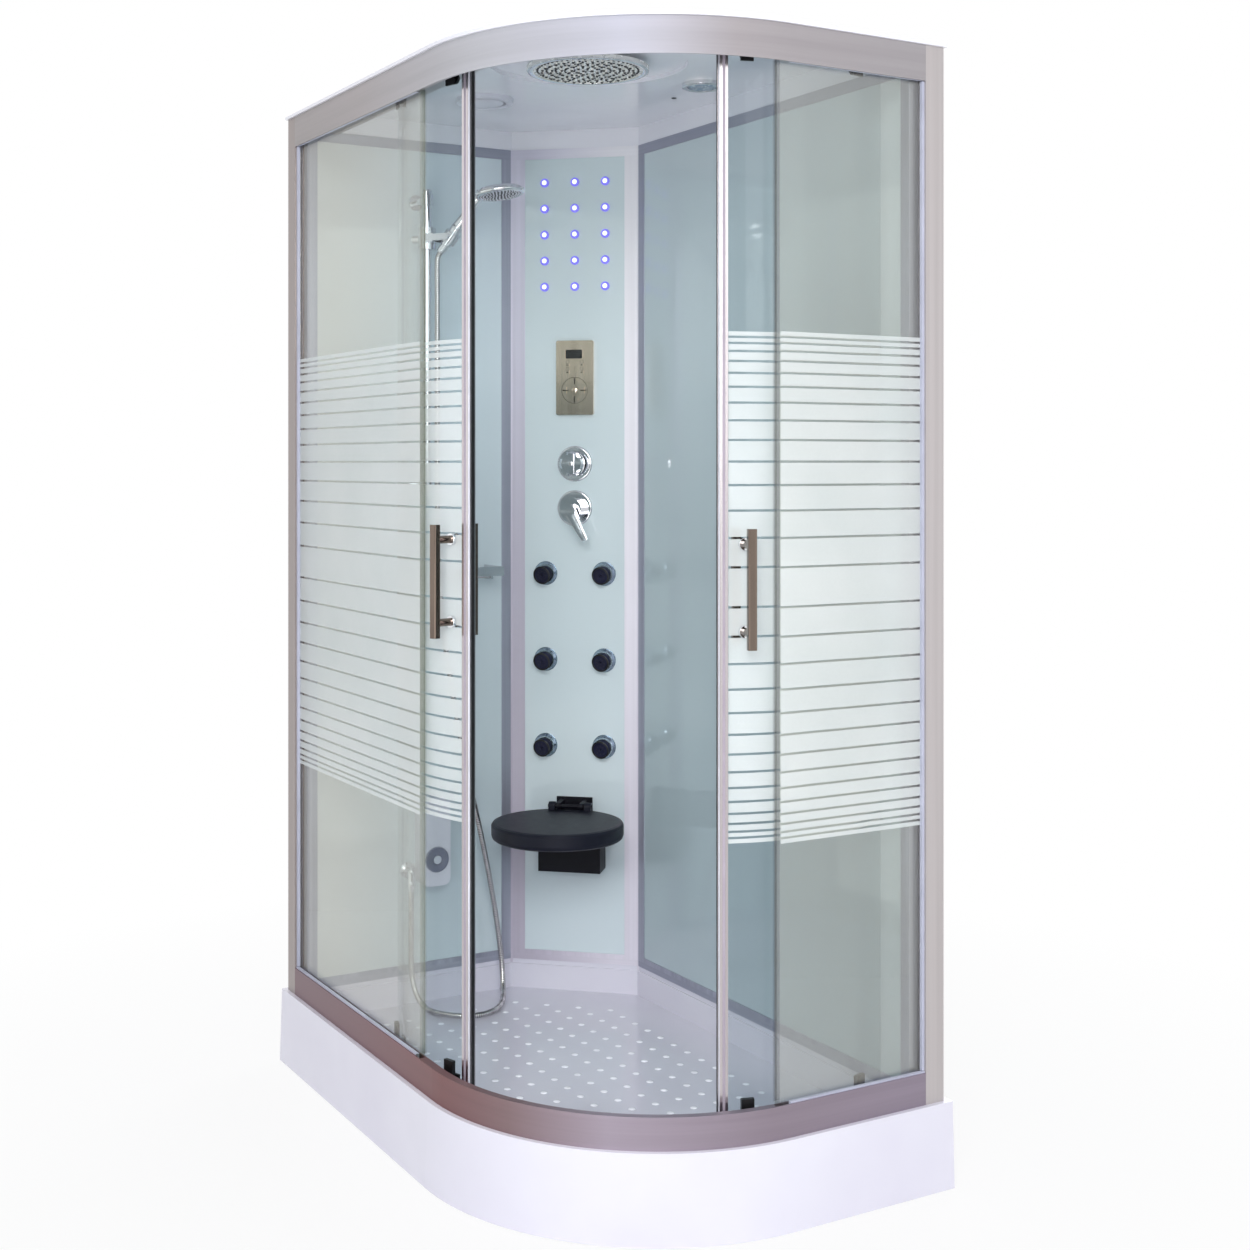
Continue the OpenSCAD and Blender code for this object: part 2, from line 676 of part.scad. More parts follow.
// Extractor fan in the roof: housing with duct spigot, ceiling ring, and rotor
fan_h = 46;
fan_wall = 3;
spigot_h = 18;
motor_r = 15;
module fan_housing() {
  r = fan_r - 5.5;
  color("whitesmoke") translate([fan_p.x, fan_p.y, 0]) {
    difference() {
      union() {
        translate([0, 0, ceiling_z]) cylinder(r = r, h = fan_h);
        translate([0, 0, ceiling_z + roof_t]) cylinder(r = r + 8, h = 3);
        translate([0, 0, ceiling_z + fan_h]) cylinder(r = spigot_r, h = spigot_h);
      }
      translate([0, 0, ceiling_z - eps]) cylinder(r = r - fan_wall, h = fan_h - fan_wall + eps);
      translate([0, 0, ceiling_z + fan_h - fan_wall - eps]) cylinder(r = spigot_r - 2.5, h = spigot_h + 10);
    }
    translate([0, 0, ceiling_z + 26]) cylinder(r = motor_r, h = fan_h - 26);
    translate([0, 0, ceiling_z + 8]) cylinder(r = 2.5, h = 20);
    for (a = [0, 90, 180, 270]) rotate(a)
      box([motor_r - 2, -1.5, ceiling_z + fan_h - 9], [r - fan_wall + 1, 1.5, ceiling_z + fan_h - 1]);
  }
}
module fan_cover() {
  color("white") translate([fan_p.x, fan_p.y, ceiling_z - 9]) {
    difference() {
      cylinder(r = fan_r, h = 9);
      translate([0, 0, -eps]) cylinder(r = fan_r - 11, h = 12);
    }
    cylinder(r = fan_r - 19, h = 4);
    for (a = [30:120:270]) rotate(a) box([fan_r - 21, -3, 2], [fan_r - 9, 3, 7]);
  }
}
module fan_rotor() {
  color("dimgray") translate([fan_p.x, fan_p.y, ceiling_z + 9]) difference() {
    union() {
      cylinder(r = 13, h = 14);
      for (a = [0:360 / 7:359]) rotate(a) translate([11, -1, 1]) rotate([28, 0, 0]) cube([30, 2, 12]);
    }
    translate([0, 0, -eps]) cylinder(r = 2.5 + run_gap, h = 30);
  }
}

// Ceiling lamp: ring with its body through the roof, and lens
module light_bezel() {
  color("silver") translate([lamp_p.x, lamp_p.y, 0]) difference() {
    union() {
      translate([0, 0, ceiling_z - 7]) cylinder(r = lamp_r, h = 7);
      translate([0, 0, ceiling_z - 7]) cylinder(r = lamp_r - 8.5, h = 32);
    }
    translate([0, 0, ceiling_z - 7 - eps]) cylinder(r = lamp_r - 11, h = 12 + eps);
  }
}
module light_lens() {
  color("lightskyblue") translate([lamp_p.x, lamp_p.y, ceiling_z - 5]) {
    cylinder(r = lamp_r - 11 - gap, h = 10);
    translate([0, 0, -3]) cylinder(r1 = lamp_r - 18, r2 = lamp_r - 12, h = 3);
  }
}

// Control panel on the column, with its window, keys and cable stub
module control_panel() {
  color("tan") on_column() facing(col_mid + 1.5, panel_z) {
    difference() {
      linear_extrude(10) soft_rect(panel_w, panel_h, 4);
      translate([-2, panel_h / 2 - 30, 9]) linear_extrude(2) soft_rect(38, 20, 2);
    }
    for (x = [-16, 16], z = [12, 28]) translate([x, z, 9]) linear_extrude(2) soft_rect(9, 5, 1);
    for (a = [0:90:270]) translate([0, -28, 9]) rotate(a) translate([0, 20, 0]) linear_extrude(2)
      soft_rect(16, 4, 1);
    translate([0, -28, 9]) cylinder(r = 7, h = 2);
    translate([-1.5, 0, -25]) cylinder(r = cable_r, h = 26);
  }
}

// Valve bodies through the column glass, with their wall plates and spindles
plate_t = 4;
pipe_r = 7.5;
valve_depth = riser_b - pipe_r - 2 - gap;
diverter_spindle_r = 5;
mixer_spindle_r = 7;
knob_r = 27;
knob_l = 25;
cap_r = 20;
cap_l = 14;
module valve_bodies() {
  color("silver") on_column() {
    for (z = [diverter_z, mixer_z]) facing(col_mid, z) {
      rotate_extrude() polygon([[0, 0], [plate_r, 0], [plate_r, 1.5], [plate_r - 4, plate_t], [0, plate_t]]);
      translate([0, 0, -valve_depth]) cylinder(r = valve_body_r, h = valve_depth + 18);
    }
    facing(col_mid, diverter_z) cylinder(r = diverter_spindle_r, h = 18 + knob_l - 4);
    facing(col_mid, mixer_z) {
      cylinder(r = cap_r + 4, h = 30);
      cylinder(r = mixer_spindle_r, h = 30 + cap_l - 3);
    }
  }
}
module diverter_knob() {
  color("silver") on_column() facing(col_mid, diverter_z) translate([0, 0, 18 + gap]) difference() {
    union() {
      rotate_extrude() polygon([[0, 0], [knob_r - 3, 0], [knob_r, 3], [knob_r, knob_l - 8],
        [knob_r - 5, knob_l - 4], [0, knob_l - 4]]);
      linear_extrude(knob_l) soft_rect(12, 2 * knob_r - 8, 4);
    }
    for (a = [45:90:315]) rotate(a) translate([knob_r + 5, 0, 5]) cylinder(r = 12, h = knob_l);
    translate([0, 0, -eps]) cylinder(r = diverter_spindle_r + run_gap, h = knob_l - 3 + eps);
  }
}

// Mixer cap that turns for temperature, and the lever that tilts on its pin for flow
lever_turn = 28;
cap_z = 30 + gap;
lever_pin_z = cap_z + cap_l + 7;
lever_pin_r = 3;
lever_hub_w = 16;
lever_l = 72;
module at_mixer() on_column() facing(col_mid, mixer_z) rotate(lever_turn) children();
module mixer_cap() {
  color("silver") at_mixer() {
    difference() {
      translate([0, 0, cap_z]) cylinder(r = cap_r + 3, h = cap_l);
      translate([0, 0, cap_z - eps]) cylinder(r = mixer_spindle_r + run_gap, h = cap_l - 2 + eps);
    }
    for (s = [-1, 1]) translate([s * (lever_hub_w / 2 + 2.5) - 2, 0, 0]) {
      box([0, -4.5, cap_z + cap_l - 1], [4, 4.5, lever_pin_z]);
      translate([0, 0, lever_pin_z]) rotate([0, 90, 0]) cylinder(r = 4.5, h = 4);
    }
    translate([-lever_hub_w / 2 - 3, 0, lever_pin_z]) rotate([0, 90, 0])
      cylinder(r = lever_pin_r, h = lever_hub_w + 6);
  }
}
module mixer_lever() {
  color("silver") at_mixer() {
    difference() {
      union() {
        translate([-lever_hub_w / 2, 0, lever_pin_z]) rotate([0, 90, 0]) cylinder(r = 6, h = lever_hub_w);
        box([-lever_hub_w / 2, -5, lever_pin_z], [lever_hub_w / 2, 5, lever_pin_z + 10]);
      }
      translate([-lever_hub_w, 0, lever_pin_z]) rotate([0, 90, 0]) cylinder(r = lever_pin_r + run_gap, h = 40);
    }
    hull($fn = 32) {
      translate([0, -4, lever_pin_z + 8]) cylinder(r = 13, h = 8, $fn = 32);
      translate([0, -lever_l, lever_pin_z + 4]) cylinder(r = 7, h = 7, $fn = 32);
    }
  }
}

// Body jets: chrome housings with ball sockets, and the balls that turn in them
jet_ball_z = 8;
jet_ring_l = 12;
jet_tail_l = 24;
module jet_bodies() {
  color("silver") on_column() for (p = jets) facing(p[0], p[1]) difference() {
    union() {
      rotate_extrude() polygon([[0, 0], [jet_ring_r, 0], [jet_ring_r, 7], [jet_ring_r - 4, jet_ring_l],
        [0, jet_ring_l]]);
      translate([0, 0, -jet_tail_l]) cylinder(r = jet_tail_r, h = jet_tail_l + 1);
    }
    translate([0, 0, jet_ball_z]) sphere(jet_ball_r + run_gap);
  }
}
jet_aim = 12;
module jet_nozzle(k) {
  color("midnightblue") on_column() facing(jets[k - 1][0], jets[k - 1][1]) translate([0, 0, jet_ball_z])
    rotate([jet_aim, -jet_aim, 0]) difference() {
      sphere(jet_ball_r);
      translate([0, 0, jet_ball_r - 4]) cylinder(r = jet_ball_r, h = jet_ball_r);
      translate([0, 0, jet_ball_r - 8]) difference() {
        cylinder(r = 7, h = jet_ball_r);
        translate([0, 0, -eps]) cylinder(r = 3, h = jet_ball_r + 2 * eps);
      }
    }
}
module jet_nozzle_1() jet_nozzle(1);
module jet_nozzle_2() jet_nozzle(2);
module jet_nozzle_3() jet_nozzle(3);
module jet_nozzle_4() jet_nozzle(4);
module jet_nozzle_5() jet_nozzle(5);
module jet_nozzle_6() jet_nozzle(6);

// Small jets at the top of the column
micro_stem_l = 12;
module micro_jets() {
  color("slateblue") on_column() for (p = micros) facing(p[0], p[1]) difference() {
    union() {
      rotate_extrude() polygon([[0, 0], [micro_r, 0], [micro_r, 2], [micro_r - 2, 4], [0, 4]]);
      translate([0, 0, 3]) cylinder(r = micro_r - 4, h = 2.5);
      translate([0, 0, -micro_stem_l]) cylinder(r = micro_stem_r, h = micro_stem_l + 1);
    }
    translate([0, 0, -20]) cylinder(r = 1.5, h = 40);
  }
}

// Pipework behind the walls: supply inlets, manifolds of the jets, and the feeds to the two showers
inlet_s = 75;
inlet_z = 300;
inlet_b = riser_b + 24;
inlet_l = 16;
riser_top = ceiling_z + recess_h + roof_t + 26;
feed_x = side_x - 40;
elbow_wall = 2;
// Straight pipe from a to b, left short by e at its start and by f at its end
module run(a, b, r, e = 0, f = 0) {
  v = b - a;
  translate(a + e * v / norm(v)) rotate([0, acos(v.z / norm(v)), atan2(v.y, v.x)])
    cylinder(r = r, h = norm(v) - e - f);
}
module elbow(p, r) translate(p) cube(2 * (r + elbow_wall), center = true);
// Straight runs with a square elbow at every bend. With a tee the first run starts in the wall of a block.
module pipe(points, r, tee = false) {
  last = len(points) - 1;
  in = r + elbow_wall / 2;
  for (k = [1:last]) run(points[k - 1], points[k], r, k > 1 || tee ? in : 0, k < last ? in : 0);
  if (last > 1) for (k = [1:last - 1]) elbow(points[k], r);
}
// Row place of a point given along the column, behind its face and up
function column_point(s, b, z) = [
  col_x + s * cos(col_dir) - b * sin(col_dir),
  col_y + s * sin(col_dir) + b * cos(col_dir), z
];
foot_mid_y = foot_y0 + foot_w / 2;
wall_back = side_x - wall_glass_t - 8;
feed_b = riser_b + 24;
jet_pipe_b = 36;
module plumbing() {
  mixer_tee = [col_mid, riser_b, mixer_z];
  diverter_tee = [col_mid, riser_b, diverter_z];
  color("peru") {
    on_column() {
      for (side = [-1, 1]) {
        s = col_mid + side * inlet_s;
        jet_s = col_mid + side * jet_gap / 2;
        pipe([mixer_tee, [s, riser_b, mixer_z], [s, riser_b, inlet_z], [s, inlet_b + 2, inlet_z]],
          pipe_r, true);
        translate([s, inlet_b, inlet_z]) rotate([-90, 0, 0]) cylinder(r = inlet_r, h = inlet_l);
        pipe([[jet_s, jet_pipe_b, jet_z - 20], [jet_s, jet_pipe_b, diverter_z],
          [col_mid + side * (valve_body_r + gap), jet_pipe_b, diverter_z]], pipe_r);
        for (row = [0:2]) translate([jet_s, jet_tail_l + gap, jet_z + row * jet_pitch]) rotate([-90, 0, 0])
          cylinder(r = 12, h = 14);
      }
      elbow(mixer_tee, pipe_r);
      elbow(diverter_tee, pipe_r);
      run(mixer_tee, diverter_tee, pipe_r, pipe_r + 1, pipe_r + 1);
      run(diverter_tee, [riser_s, riser_b, riser_top], pipe_r, pipe_r + 1, pipe_r + 1);
      elbow([riser_s, riser_b, riser_top], pipe_r);
      box([col_mid - micro_pitch - 16, micro_stem_l + gap, micro_z - 14],
        [col_mid + micro_pitch + 16, 26, micro_z + 4 * micro_pitch_z + 14]);
      run([riser_s, 24, micro_z], [riser_s, riser_b, micro_z], pipe_r - 1);
    }
    pipe([column_point(riser_s, riser_b, riser_top), [rain_p.x, rain_p.y, riser_top],
      [rain_p.x, rain_p.y, neck_top]], pipe_r, true);
    pipe([column_point(col_mid, riser_b, diverter_z), column_point(col_mid, feed_b, diverter_z),
      column_point(30, feed_b, outlet_wall_z), [feed_x, outlet_y, outlet_wall_z],
      [wall_back, outlet_y, outlet_wall_z]], pipe_r, true);
    run([feed_x, foot_mid_y, outlet_wall_z], [wall_back, foot_mid_y, outlet_wall_z], pipe_r - 1);
  }
}

// Slide bar with its two wall brackets
bar_y = -119.5;
bar_x = side_x + bar_out;
bracket_in = 20;
module slide_bar() {
  color("silver") {
    translate([bar_x, bar_y, bar_top - bar_l]) cylinder(r = bar_r, h = bar_l);
    for (z = [bar_top - bracket_in, bar_top - bar_l + bracket_in]) {
      translate([side_x, bar_y, z]) rotate([0, 90, 0]) cylinder(r = 8, h = bar_out);
      translate([side_x, bar_y, z]) rotate([0, 90, 0]) cylinder(r = 17, h = 5);
      translate([bar_x, bar_y, z - 12]) cylinder(r = bar_r + 3, h = 24);
    }
  }
}

// Slider on the bar, with the fork that carries the holder
hand_dir = 34;
slider_r = bar_r + 9;
slider_h = 46;
ring_d = 58;
ring_r = 17;
ring_l = 24;
trunnion_r = 4;
fork_in = ring_r + 1;
fork_out = fork_in + 5;
module at_slider() translate([bar_x, bar_y, slider_z]) rotate(hand_dir) children();
module slider() {
  color("silver") at_slider() {
    difference() {
      union() {
        translate([0, 0, -slider_h / 2]) cylinder(r = slider_r, h = slider_h);
        box([10, -fork_out, -9], [28, fork_out, 9]);
      }
      translate([0, 0, -slider_h]) cylinder(r = bar_r + run_gap, h = 2 * slider_h);
    }
    for (s = [-1, 1]) difference() {
      union() {
        box([26, min(s * fork_in, s * fork_out), -7], [ring_d, max(s * fork_in, s * fork_out), 7]);
        translate([ring_d, s * (fork_in + fork_out) / 2, 0]) rotate([90, 0, 0])
          cylinder(r = 7, h = fork_out - fork_in, center = true);
      }
      translate([ring_d, 0, 0]) rotate([90, 0, 0]) cylinder(r = trunnion_r + run_gap, h = 80, center = true);
    }
    translate([-slider_r - 14, 0, 0]) rotate([0, 90, 0]) cylinder(r = 9, h = 18);
  }
}

// Holder ring on its two trunnions, and the hand shower that rests in it
handle_slope = 50;
grip_r = 12;
head_slope = 8;
grip_l = 108;
tail_l = 34;
head_t = 16;
head_r = handset_dia / 2;
module at_holder() at_slider() translate([ring_d, 0, 0]) rotate([0, 90 - handle_slope, 0]) children();
module handset_holder() {
  color("silver") at_holder() {
    difference() {
      translate([0, 0, -ring_l / 2]) cylinder(r = ring_r, h = ring_l);
      translate([0, 0, -ring_l]) cylinder(r = grip_r + gap, h = 2 * ring_l);
    }
    for (s = [-1, 1]) difference() {
      rotate([90, 0, 0]) cylinder(r = trunnion_r, h = 2 * fork_out, center = true);
      translate([0, -s * 50, 0]) cube([100, 100, 100], center = true);
      cylinder(r = grip_r + 2, h = 40, center = true);
    }
  }
}
rim_d = ring_d + grip_l * cos(handle_slope);
rim_h = grip_l * sin(handle_slope);
module handset() {
  color("silver") {
    at_holder() {
      rotate_extrude() polygon([[0, -tail_l], [9, -tail_l], [9, -20], [grip_r, -18], [grip_r, 20], [10, 60],
        [11, grip_l + 8], [0, grip_l + 8]]);
    }
    at_slider() translate([rim_d, 0, rim_h]) rotate([0, -head_slope, 0]) translate([head_r - 3, 0, 0])
      difference() {
        rotate_extrude() polygon([[0, -9], [head_r - 5, -9], [head_r, -5], [head_r, -1], [head_r - 8, 5],
          [16, head_t - 4], [0, head_t - 4]]);
        translate([0, 0, -10]) cylinder(r = head_r - 9, h = 2.5);
      }
  }
}

// Shower hose, from its wall outlet down to the basin floor and up to the hand shower
hose_r = hose_dia / 2;
hose_floor = 104;
hose_path = [
  [-505, -140, 366], [-505, -140, 330], [-505, -140, 260], [-505, -140, 195], [-498, -138, 148],
  [-475, -133, 116], [-440, -125, hose_floor], [-402, -108, hose_floor], [-374, -79, hose_floor],
  [-364, -42, hose_floor], [-375, -6, hose_floor], [-402, 23, hose_floor], [-436, 46, 107], [-464, 60, 122],
  [-480, 66, 158], [-483, 62, 208], [-479, 50, 275], [-472, 30, 365], [-464, 5, 465], [-456, -28, 590],
  [-450, -62, 740], [-447, -88, 890], [-447, -101, 1040], [-447, -105, 1200], [-447, -105, 1400],
  [-447, -105, 1560], [-447, -105, 1640], [-447, -105, 1683], [-445, -104, 1700]
];
hose_end = [
  bar_x + (ring_d - (tail_l + 0.1) * cos(handle_slope)) * cos(hand_dir),
  bar_y + (ring_d - (tail_l + 0.1) * cos(handle_slope)) * sin(hand_dir),
  slider_z - (tail_l + 0.1) * sin(handle_slope)
];
hose_to = [cos(handle_slope) * cos(hand_dir), cos(handle_slope) * sin(hand_dir), sin(handle_slope)];
// Smooth curve through a list of points, n steps a stretch
function spline(p, k, t) =
  let (a = p[max(k - 1, 0)], b = p[k], c = p[k + 1], d = p[min(k + 2, len(p) - 1)])
  0.5 * (2 * b + (c - a) * t + (2 * a - 5 * b + 4 * c - d) * t * t + (3 * b - a - 3 * c + d) * t * t * t);
function curve(p, n) = concat([for (k = [0:len(p) - 2], i = [0:n - 1]) spline(p, k, i / n)], [p[len(p) - 1]]);
function unit(v) = v / norm(v);
// Tube of radius r along a curve, with the given number of sides and directions at its ends
module tube_along(p, r, sides, from, to) {
  last = len(p) - 1;
  tangent = [for (k = [0:last]) k == 0 ? from : k == last ? to : unit(p[k + 1] - p[k - 1])];
  side = [for (t = tangent) unit(cross(t, abs(t.z) > 0.9 ? [0, 1, 0] : [0, 0, 1]))];
  ring = [for (k = [0:last], i = [0:sides - 1]) p[k] + r * (
    cos(i * 360 / sides) * side[k] + sin(i * 360 / sides) * cross(tangent[k], side[k]))];
  faces = concat(
    [[for (i = [0:sides - 1]) i]],
    [for (k = [0:last - 1], i = [0:sides - 1])
      [k * sides + i, (k + 1) * sides + i, (k + 1) * sides + (i + 1) % sides, k * sides + (i + 1) % sides]],
    [[for (i = [sides - 1:-1:0]) last * sides + i]]
  );
  polyhedron(ring, faces, convexity = 10);
}
module hose() {
  color("silver") tube_along(curve(concat(hose_path, [hose_end]), 2), hose_r, 10, [0, 0, -1], hose_to);
}

// Wall elbow that feeds the hose
module hose_outlet() {
  color("silver") translate([side_x, outlet_y, outlet_wall_z]) {
    rotate([0, 90, 0]) cylinder(r = 17, h = 4);
    translate([wall_back - side_x, 0, 0]) rotate([0, 90, 0]) cylinder(r = 8, h = side_x - wall_back + 23);
    translate([23, 0, 0]) sphere(9);
    translate([23, 0, -20]) cylinder(r = 8.5, h = 20);
  }
}

// Small shelf on the side wall, with its two brackets
shelf_y0 = -65;
shelf_y1 = 47;
shelf_z = 1019;
shelf_d = 95;
shelf_t = 8;
module shelf() {
  color("silver") {
    box([side_x + 4, shelf_y0, shelf_z], [side_x + shelf_d, shelf_y1, shelf_z + shelf_t]);
    box([side_x, shelf_y0 + 8, shelf_z - 10], [side_x + 4, shelf_y1 - 8, shelf_z + 14]);
    for (y = [shelf_y0 + 16, shelf_y1 - 22])
      box([side_x + 3, y, shelf_z - 8], [side_x + shelf_d - 20, y + 6, shelf_z + 1]);
    for (y = [shelf_y0, shelf_y1 - 3])
      box([side_x + 4, y, shelf_z + shelf_t - 1], [side_x + shelf_d, y + 3, shelf_z + 20]);
    box([side_x + shelf_d - 3, shelf_y0, shelf_z + shelf_t - 1], [side_x + shelf_d, shelf_y1, shelf_z + 20]);
  }
}

// Foot unit low on the side wall, with its ring
foot_d = 45;
module foot_unit() {
  color("white") translate([side_x, foot_y0 + foot_w / 2, foot_z0 + foot_unit_h / 2]) {
    rotate([90, 0, 90]) linear_extrude(foot_d) soft_rect(foot_w, foot_unit_h, 16);
    translate([wall_back - side_x, 0, outlet_wall_z - foot_z0 - foot_unit_h / 2]) rotate([0, 90, 0])
      cylinder(r = 8, h = side_x - wall_back + 2);
  }
  color("gray") translate([side_x + foot_d, foot_y0 + foot_w / 2, foot_z0 + 57]) rotate([0, 90, 0]) {
    difference() {
      cylinder(r = 27, h = 3);
      translate([0, 0, -eps]) cylinder(r = 9, h = 3 + 2 * eps);
    }
    difference() {
      cylinder(r = 8.5, h = 4);
      translate([0, 0, 4]) cube([3, 12, 3], center = true);
    }
  }
}

// Seat: wall box with its arms and hinge pin, and the board that folds up
seat_out = 170;
hinge_out = 48;
hinge_z = seat_z + 8;
arm_s = 26;
arm_w = 10;
arm_r = 7;
lug_s = 40;
lug_w = 14;
lug_r = 9;
seat_box_z = 371;
module seat_bracket() {
  color("darkslategray") on_column() {
    box([col_mid - seat_box_w / 2, -60, seat_box_z], [col_mid + seat_box_w / 2, 0, seat_z - seat_t - gap]);
    box([col_mid - lug_s, -6, seat_z - seat_t - 1], [col_mid + lug_s, 0, hinge_z + 12]);
    for (s = [-1, 1]) {
      box([col_mid + s * arm_s - arm_w / 2, -hinge_out, hinge_z - arm_r],
        [col_mid + s * arm_s + arm_w / 2, 0, hinge_z + arm_r]);
      translate([col_mid + s * arm_s - arm_w / 2, -hinge_out, hinge_z]) rotate([0, 90, 0])
        cylinder(r = arm_r, h = arm_w);
    }
    translate([col_mid - lug_s - lug_w / 2 - 2, -hinge_out, hinge_z]) rotate([0, 90, 0])
      cylinder(r = seat_pin_r, h = 2 * lug_s + lug_w + 4);
  }
}
module seat_board() {
  r = seat_dia / 2;
  color("midnightblue") on_column() difference() {
    union() {
      difference() {
        translate([col_mid, -seat_out, seat_z - seat_t]) rotate_extrude()
          polygon([[0, 0], [r - 6, 0], [r - 2, 3], [r, 9], [r, seat_t - 6], [r - 3, seat_t - 1.5],
            [r - 8, seat_t], [0, seat_t]]);
        box([0, -hinge_out, 0], [col_l, 60, seat_z + 10]);
      }
      for (s = [-1, 1]) {
        translate([col_mid + s * lug_s - lug_w / 2, -hinge_out, hinge_z]) rotate([0, 90, 0])
          cylinder(r = lug_r, h = lug_w);
        box([col_mid + s * lug_s - lug_w / 2, -hinge_out - lug_r, seat_z - 12],
          [col_mid + s * lug_s + lug_w / 2, -hinge_out + 4, hinge_z]);
      }
    }
    translate([0, -hinge_out, hinge_z]) rotate([0, 90, 0]) cylinder(r = seat_pin_r + run_gap, h = col_l);
  }
}

// Places on a closed door that meets the other one at angle m. Local x points out of the cabin, local y
// towards the leading edge, and the origin is in the middle of the glass, this far back from the edge.
module on_door(m, back) translate([arc_x, arc_y, 0]) rotate(m - door_deg(back)) translate([door_r, 0, 0])
  children();
// Swings a closed door to its place at rest, which is open
module at_rest(m) {
  p = door_pole(m);
  translate([p.x, p.y, 0]) rotate(-door_swing(m)) translate([-p.x, -p.y, 0]) children();
}
module right_hand() translate([arc_x, arc_y, 0]) mirror([1, 1, 0]) translate([-arc_x, -arc_y, 0]) children();
wheel_places = [lead_wheel_in, door_w - trail_wheel_in];
bolt_r = 4;
bolt_z = door_top - 11;
bar_out_x = 45;
handle_bolt_r = 5;
glass_start = seal_w + gap + 5;
module door_glass(m) {
  difference() {
    translate([arc_x, arc_y, door_bottom]) rotate(m - door_deg(door_w))
      rotate_extrude(angle = door_deg(door_w - glass_start)) rect(door_r - glass_t / 2, 0, door_r + glass_t / 2,
        door_top - door_bottom);
    for (d = wheel_places) on_door(m, d) translate([-20, 0, bolt_z]) rotate([0, 90, 0])
      cylinder(r = bolt_r + gap, h = 40);
    for (s = [-1, 1]) on_door(m, handle_in) translate([-20, 0, handle_z + s * handle_pitch / 2])
      rotate([0, 90, 0]) cylinder(r = handle_bolt_r + gap, h = 40);
  }
}
module door_profile(m) {
  on_door(m, seal_w + gap) {
    difference() {
      box([-lead_d / 2, -lead_w, door_bottom], [lead_d / 2, 0, door_top]);
      box([-glass_t / 2 - gap, -lead_w - eps, 0], [glass_t / 2 + gap, -4, 2 * door_top]);
    }
    box([-lead_d / 2 + 5, -1, door_bottom], [lead_d / 2 - 5, seal_w, door_top]);
  }
}
module door_handle(m) {
  on_door(m, handle_in) for (side = [-1, 1]) {
    translate([side * bar_out_x, 0, handle_z - handle_l / 2]) linear_extrude(handle_l)
      soft_rect(14, handle_w, 3);
    for (s = [-1, 1]) translate([0, 0, handle_z + s * handle_pitch / 2]) rotate([0, side * 90, 0]) {
      translate([0, 0, glass_t / 2 + 1]) cylinder(r = pillar_r, h = bar_out_x - glass_t / 2 - 1);
      translate([0, 0, glass_t / 2 + 1]) cylinder(r = pillar_r + 3, h = 6);
      cylinder(r = handle_bolt_r, h = bar_out_x);
    }
  }
}
module door_hangers(m) {
  inner = -glass_t / 2 - 1;
  for (d = wheel_places) on_door(m, d) {
    box([glass_t / 2 + 0.6, -11, door_top - 24], [glass_t / 2 + 4.5, 11, wheel_z + 6]);
    translate([inner - 5, 0, bolt_z]) rotate([0, 90, 0]) cylinder(r = 9, h = 5);
    translate([inner, 0, bolt_z]) rotate([0, 90, 0]) cylinder(r = bolt_r, h = glass_t + 8);
    translate([-wheel_offset - wheel_t / 2 - 1.5, 0, wheel_z]) rotate([0, 90, 0])
      cylinder(r = axle_r, h = wheel_offset + wheel_t / 2 + glass_t / 2 + 4);
    translate([-wheel_offset - wheel_t / 2 - 1.8, 0, wheel_z]) rotate([0, 90, 0])
      cylinder(r = axle_r + 2, h = 1.5);
    translate([-wheel_offset + wheel_t / 2 + gap, 0, wheel_z]) rotate([0, 90, 0])
      cylinder(r = axle_r + 2, h = wheel_offset - wheel_t / 2 + glass_t / 2);
    difference() {
      box([-glass_t / 2 - 5, -11, door_bottom - 5], [glass_t / 2 + 8, 11, door_bottom + 18]);
      box([-glass_t / 2 - gap, -20, door_bottom], [glass_t / 2 + 0.6, 20, door_bottom + 30]);
    }
    box([glass_t / 2 + 0.6, -11, door_bottom + 10], [glass_t / 2 + 8, 11, bottom_rail_top + 8]);
  }
}
module door_wheel(m, d) {
  on_door(m, d) translate([-wheel_offset - wheel_t / 2, 0, wheel_z]) rotate([0, 90, 0]) difference() {
    cylinder(r = wheel_r, h = wheel_t);
    translate([0, 0, -eps]) cylinder(r = axle_r + run_gap, h = wheel_t + 2 * eps);
  }
}
module left_door_glass() color("lightcyan", 0.4) at_rest(left_meet) door_glass(left_meet);
module left_door_profile() color("rosybrown") at_rest(left_meet) door_profile(left_meet);
module left_door_handle() color("silver") at_rest(left_meet) door_handle(left_meet);
module left_door_hangers() color("dimgray") at_rest(left_meet) door_hangers(left_meet);
module left_wheel_lead() color("white") at_rest(left_meet) door_wheel(left_meet, wheel_places[0]);
module left_wheel_trail() color("white") at_rest(left_meet) door_wheel(left_meet, wheel_places[1]);
module right_door_glass() color("lightcyan", 0.4) right_hand() at_rest(right_meet) door_glass(right_meet);
module right_door_profile() color("rosybrown") right_hand() at_rest(right_meet) door_profile(right_meet);
module right_door_handle() color("silver") right_hand() at_rest(right_meet) door_handle(right_meet);
module right_door_hangers() color("dimgray") right_hand() at_rest(right_meet) door_hangers(right_meet);
module right_wheel_lead() color("white") right_hand() at_rest(right_meet)
  door_wheel(right_meet, wheel_places[0]);
module right_wheel_trail() color("white") right_hand() at_rest(right_meet)
  door_wheel(right_meet, wheel_places[1]);

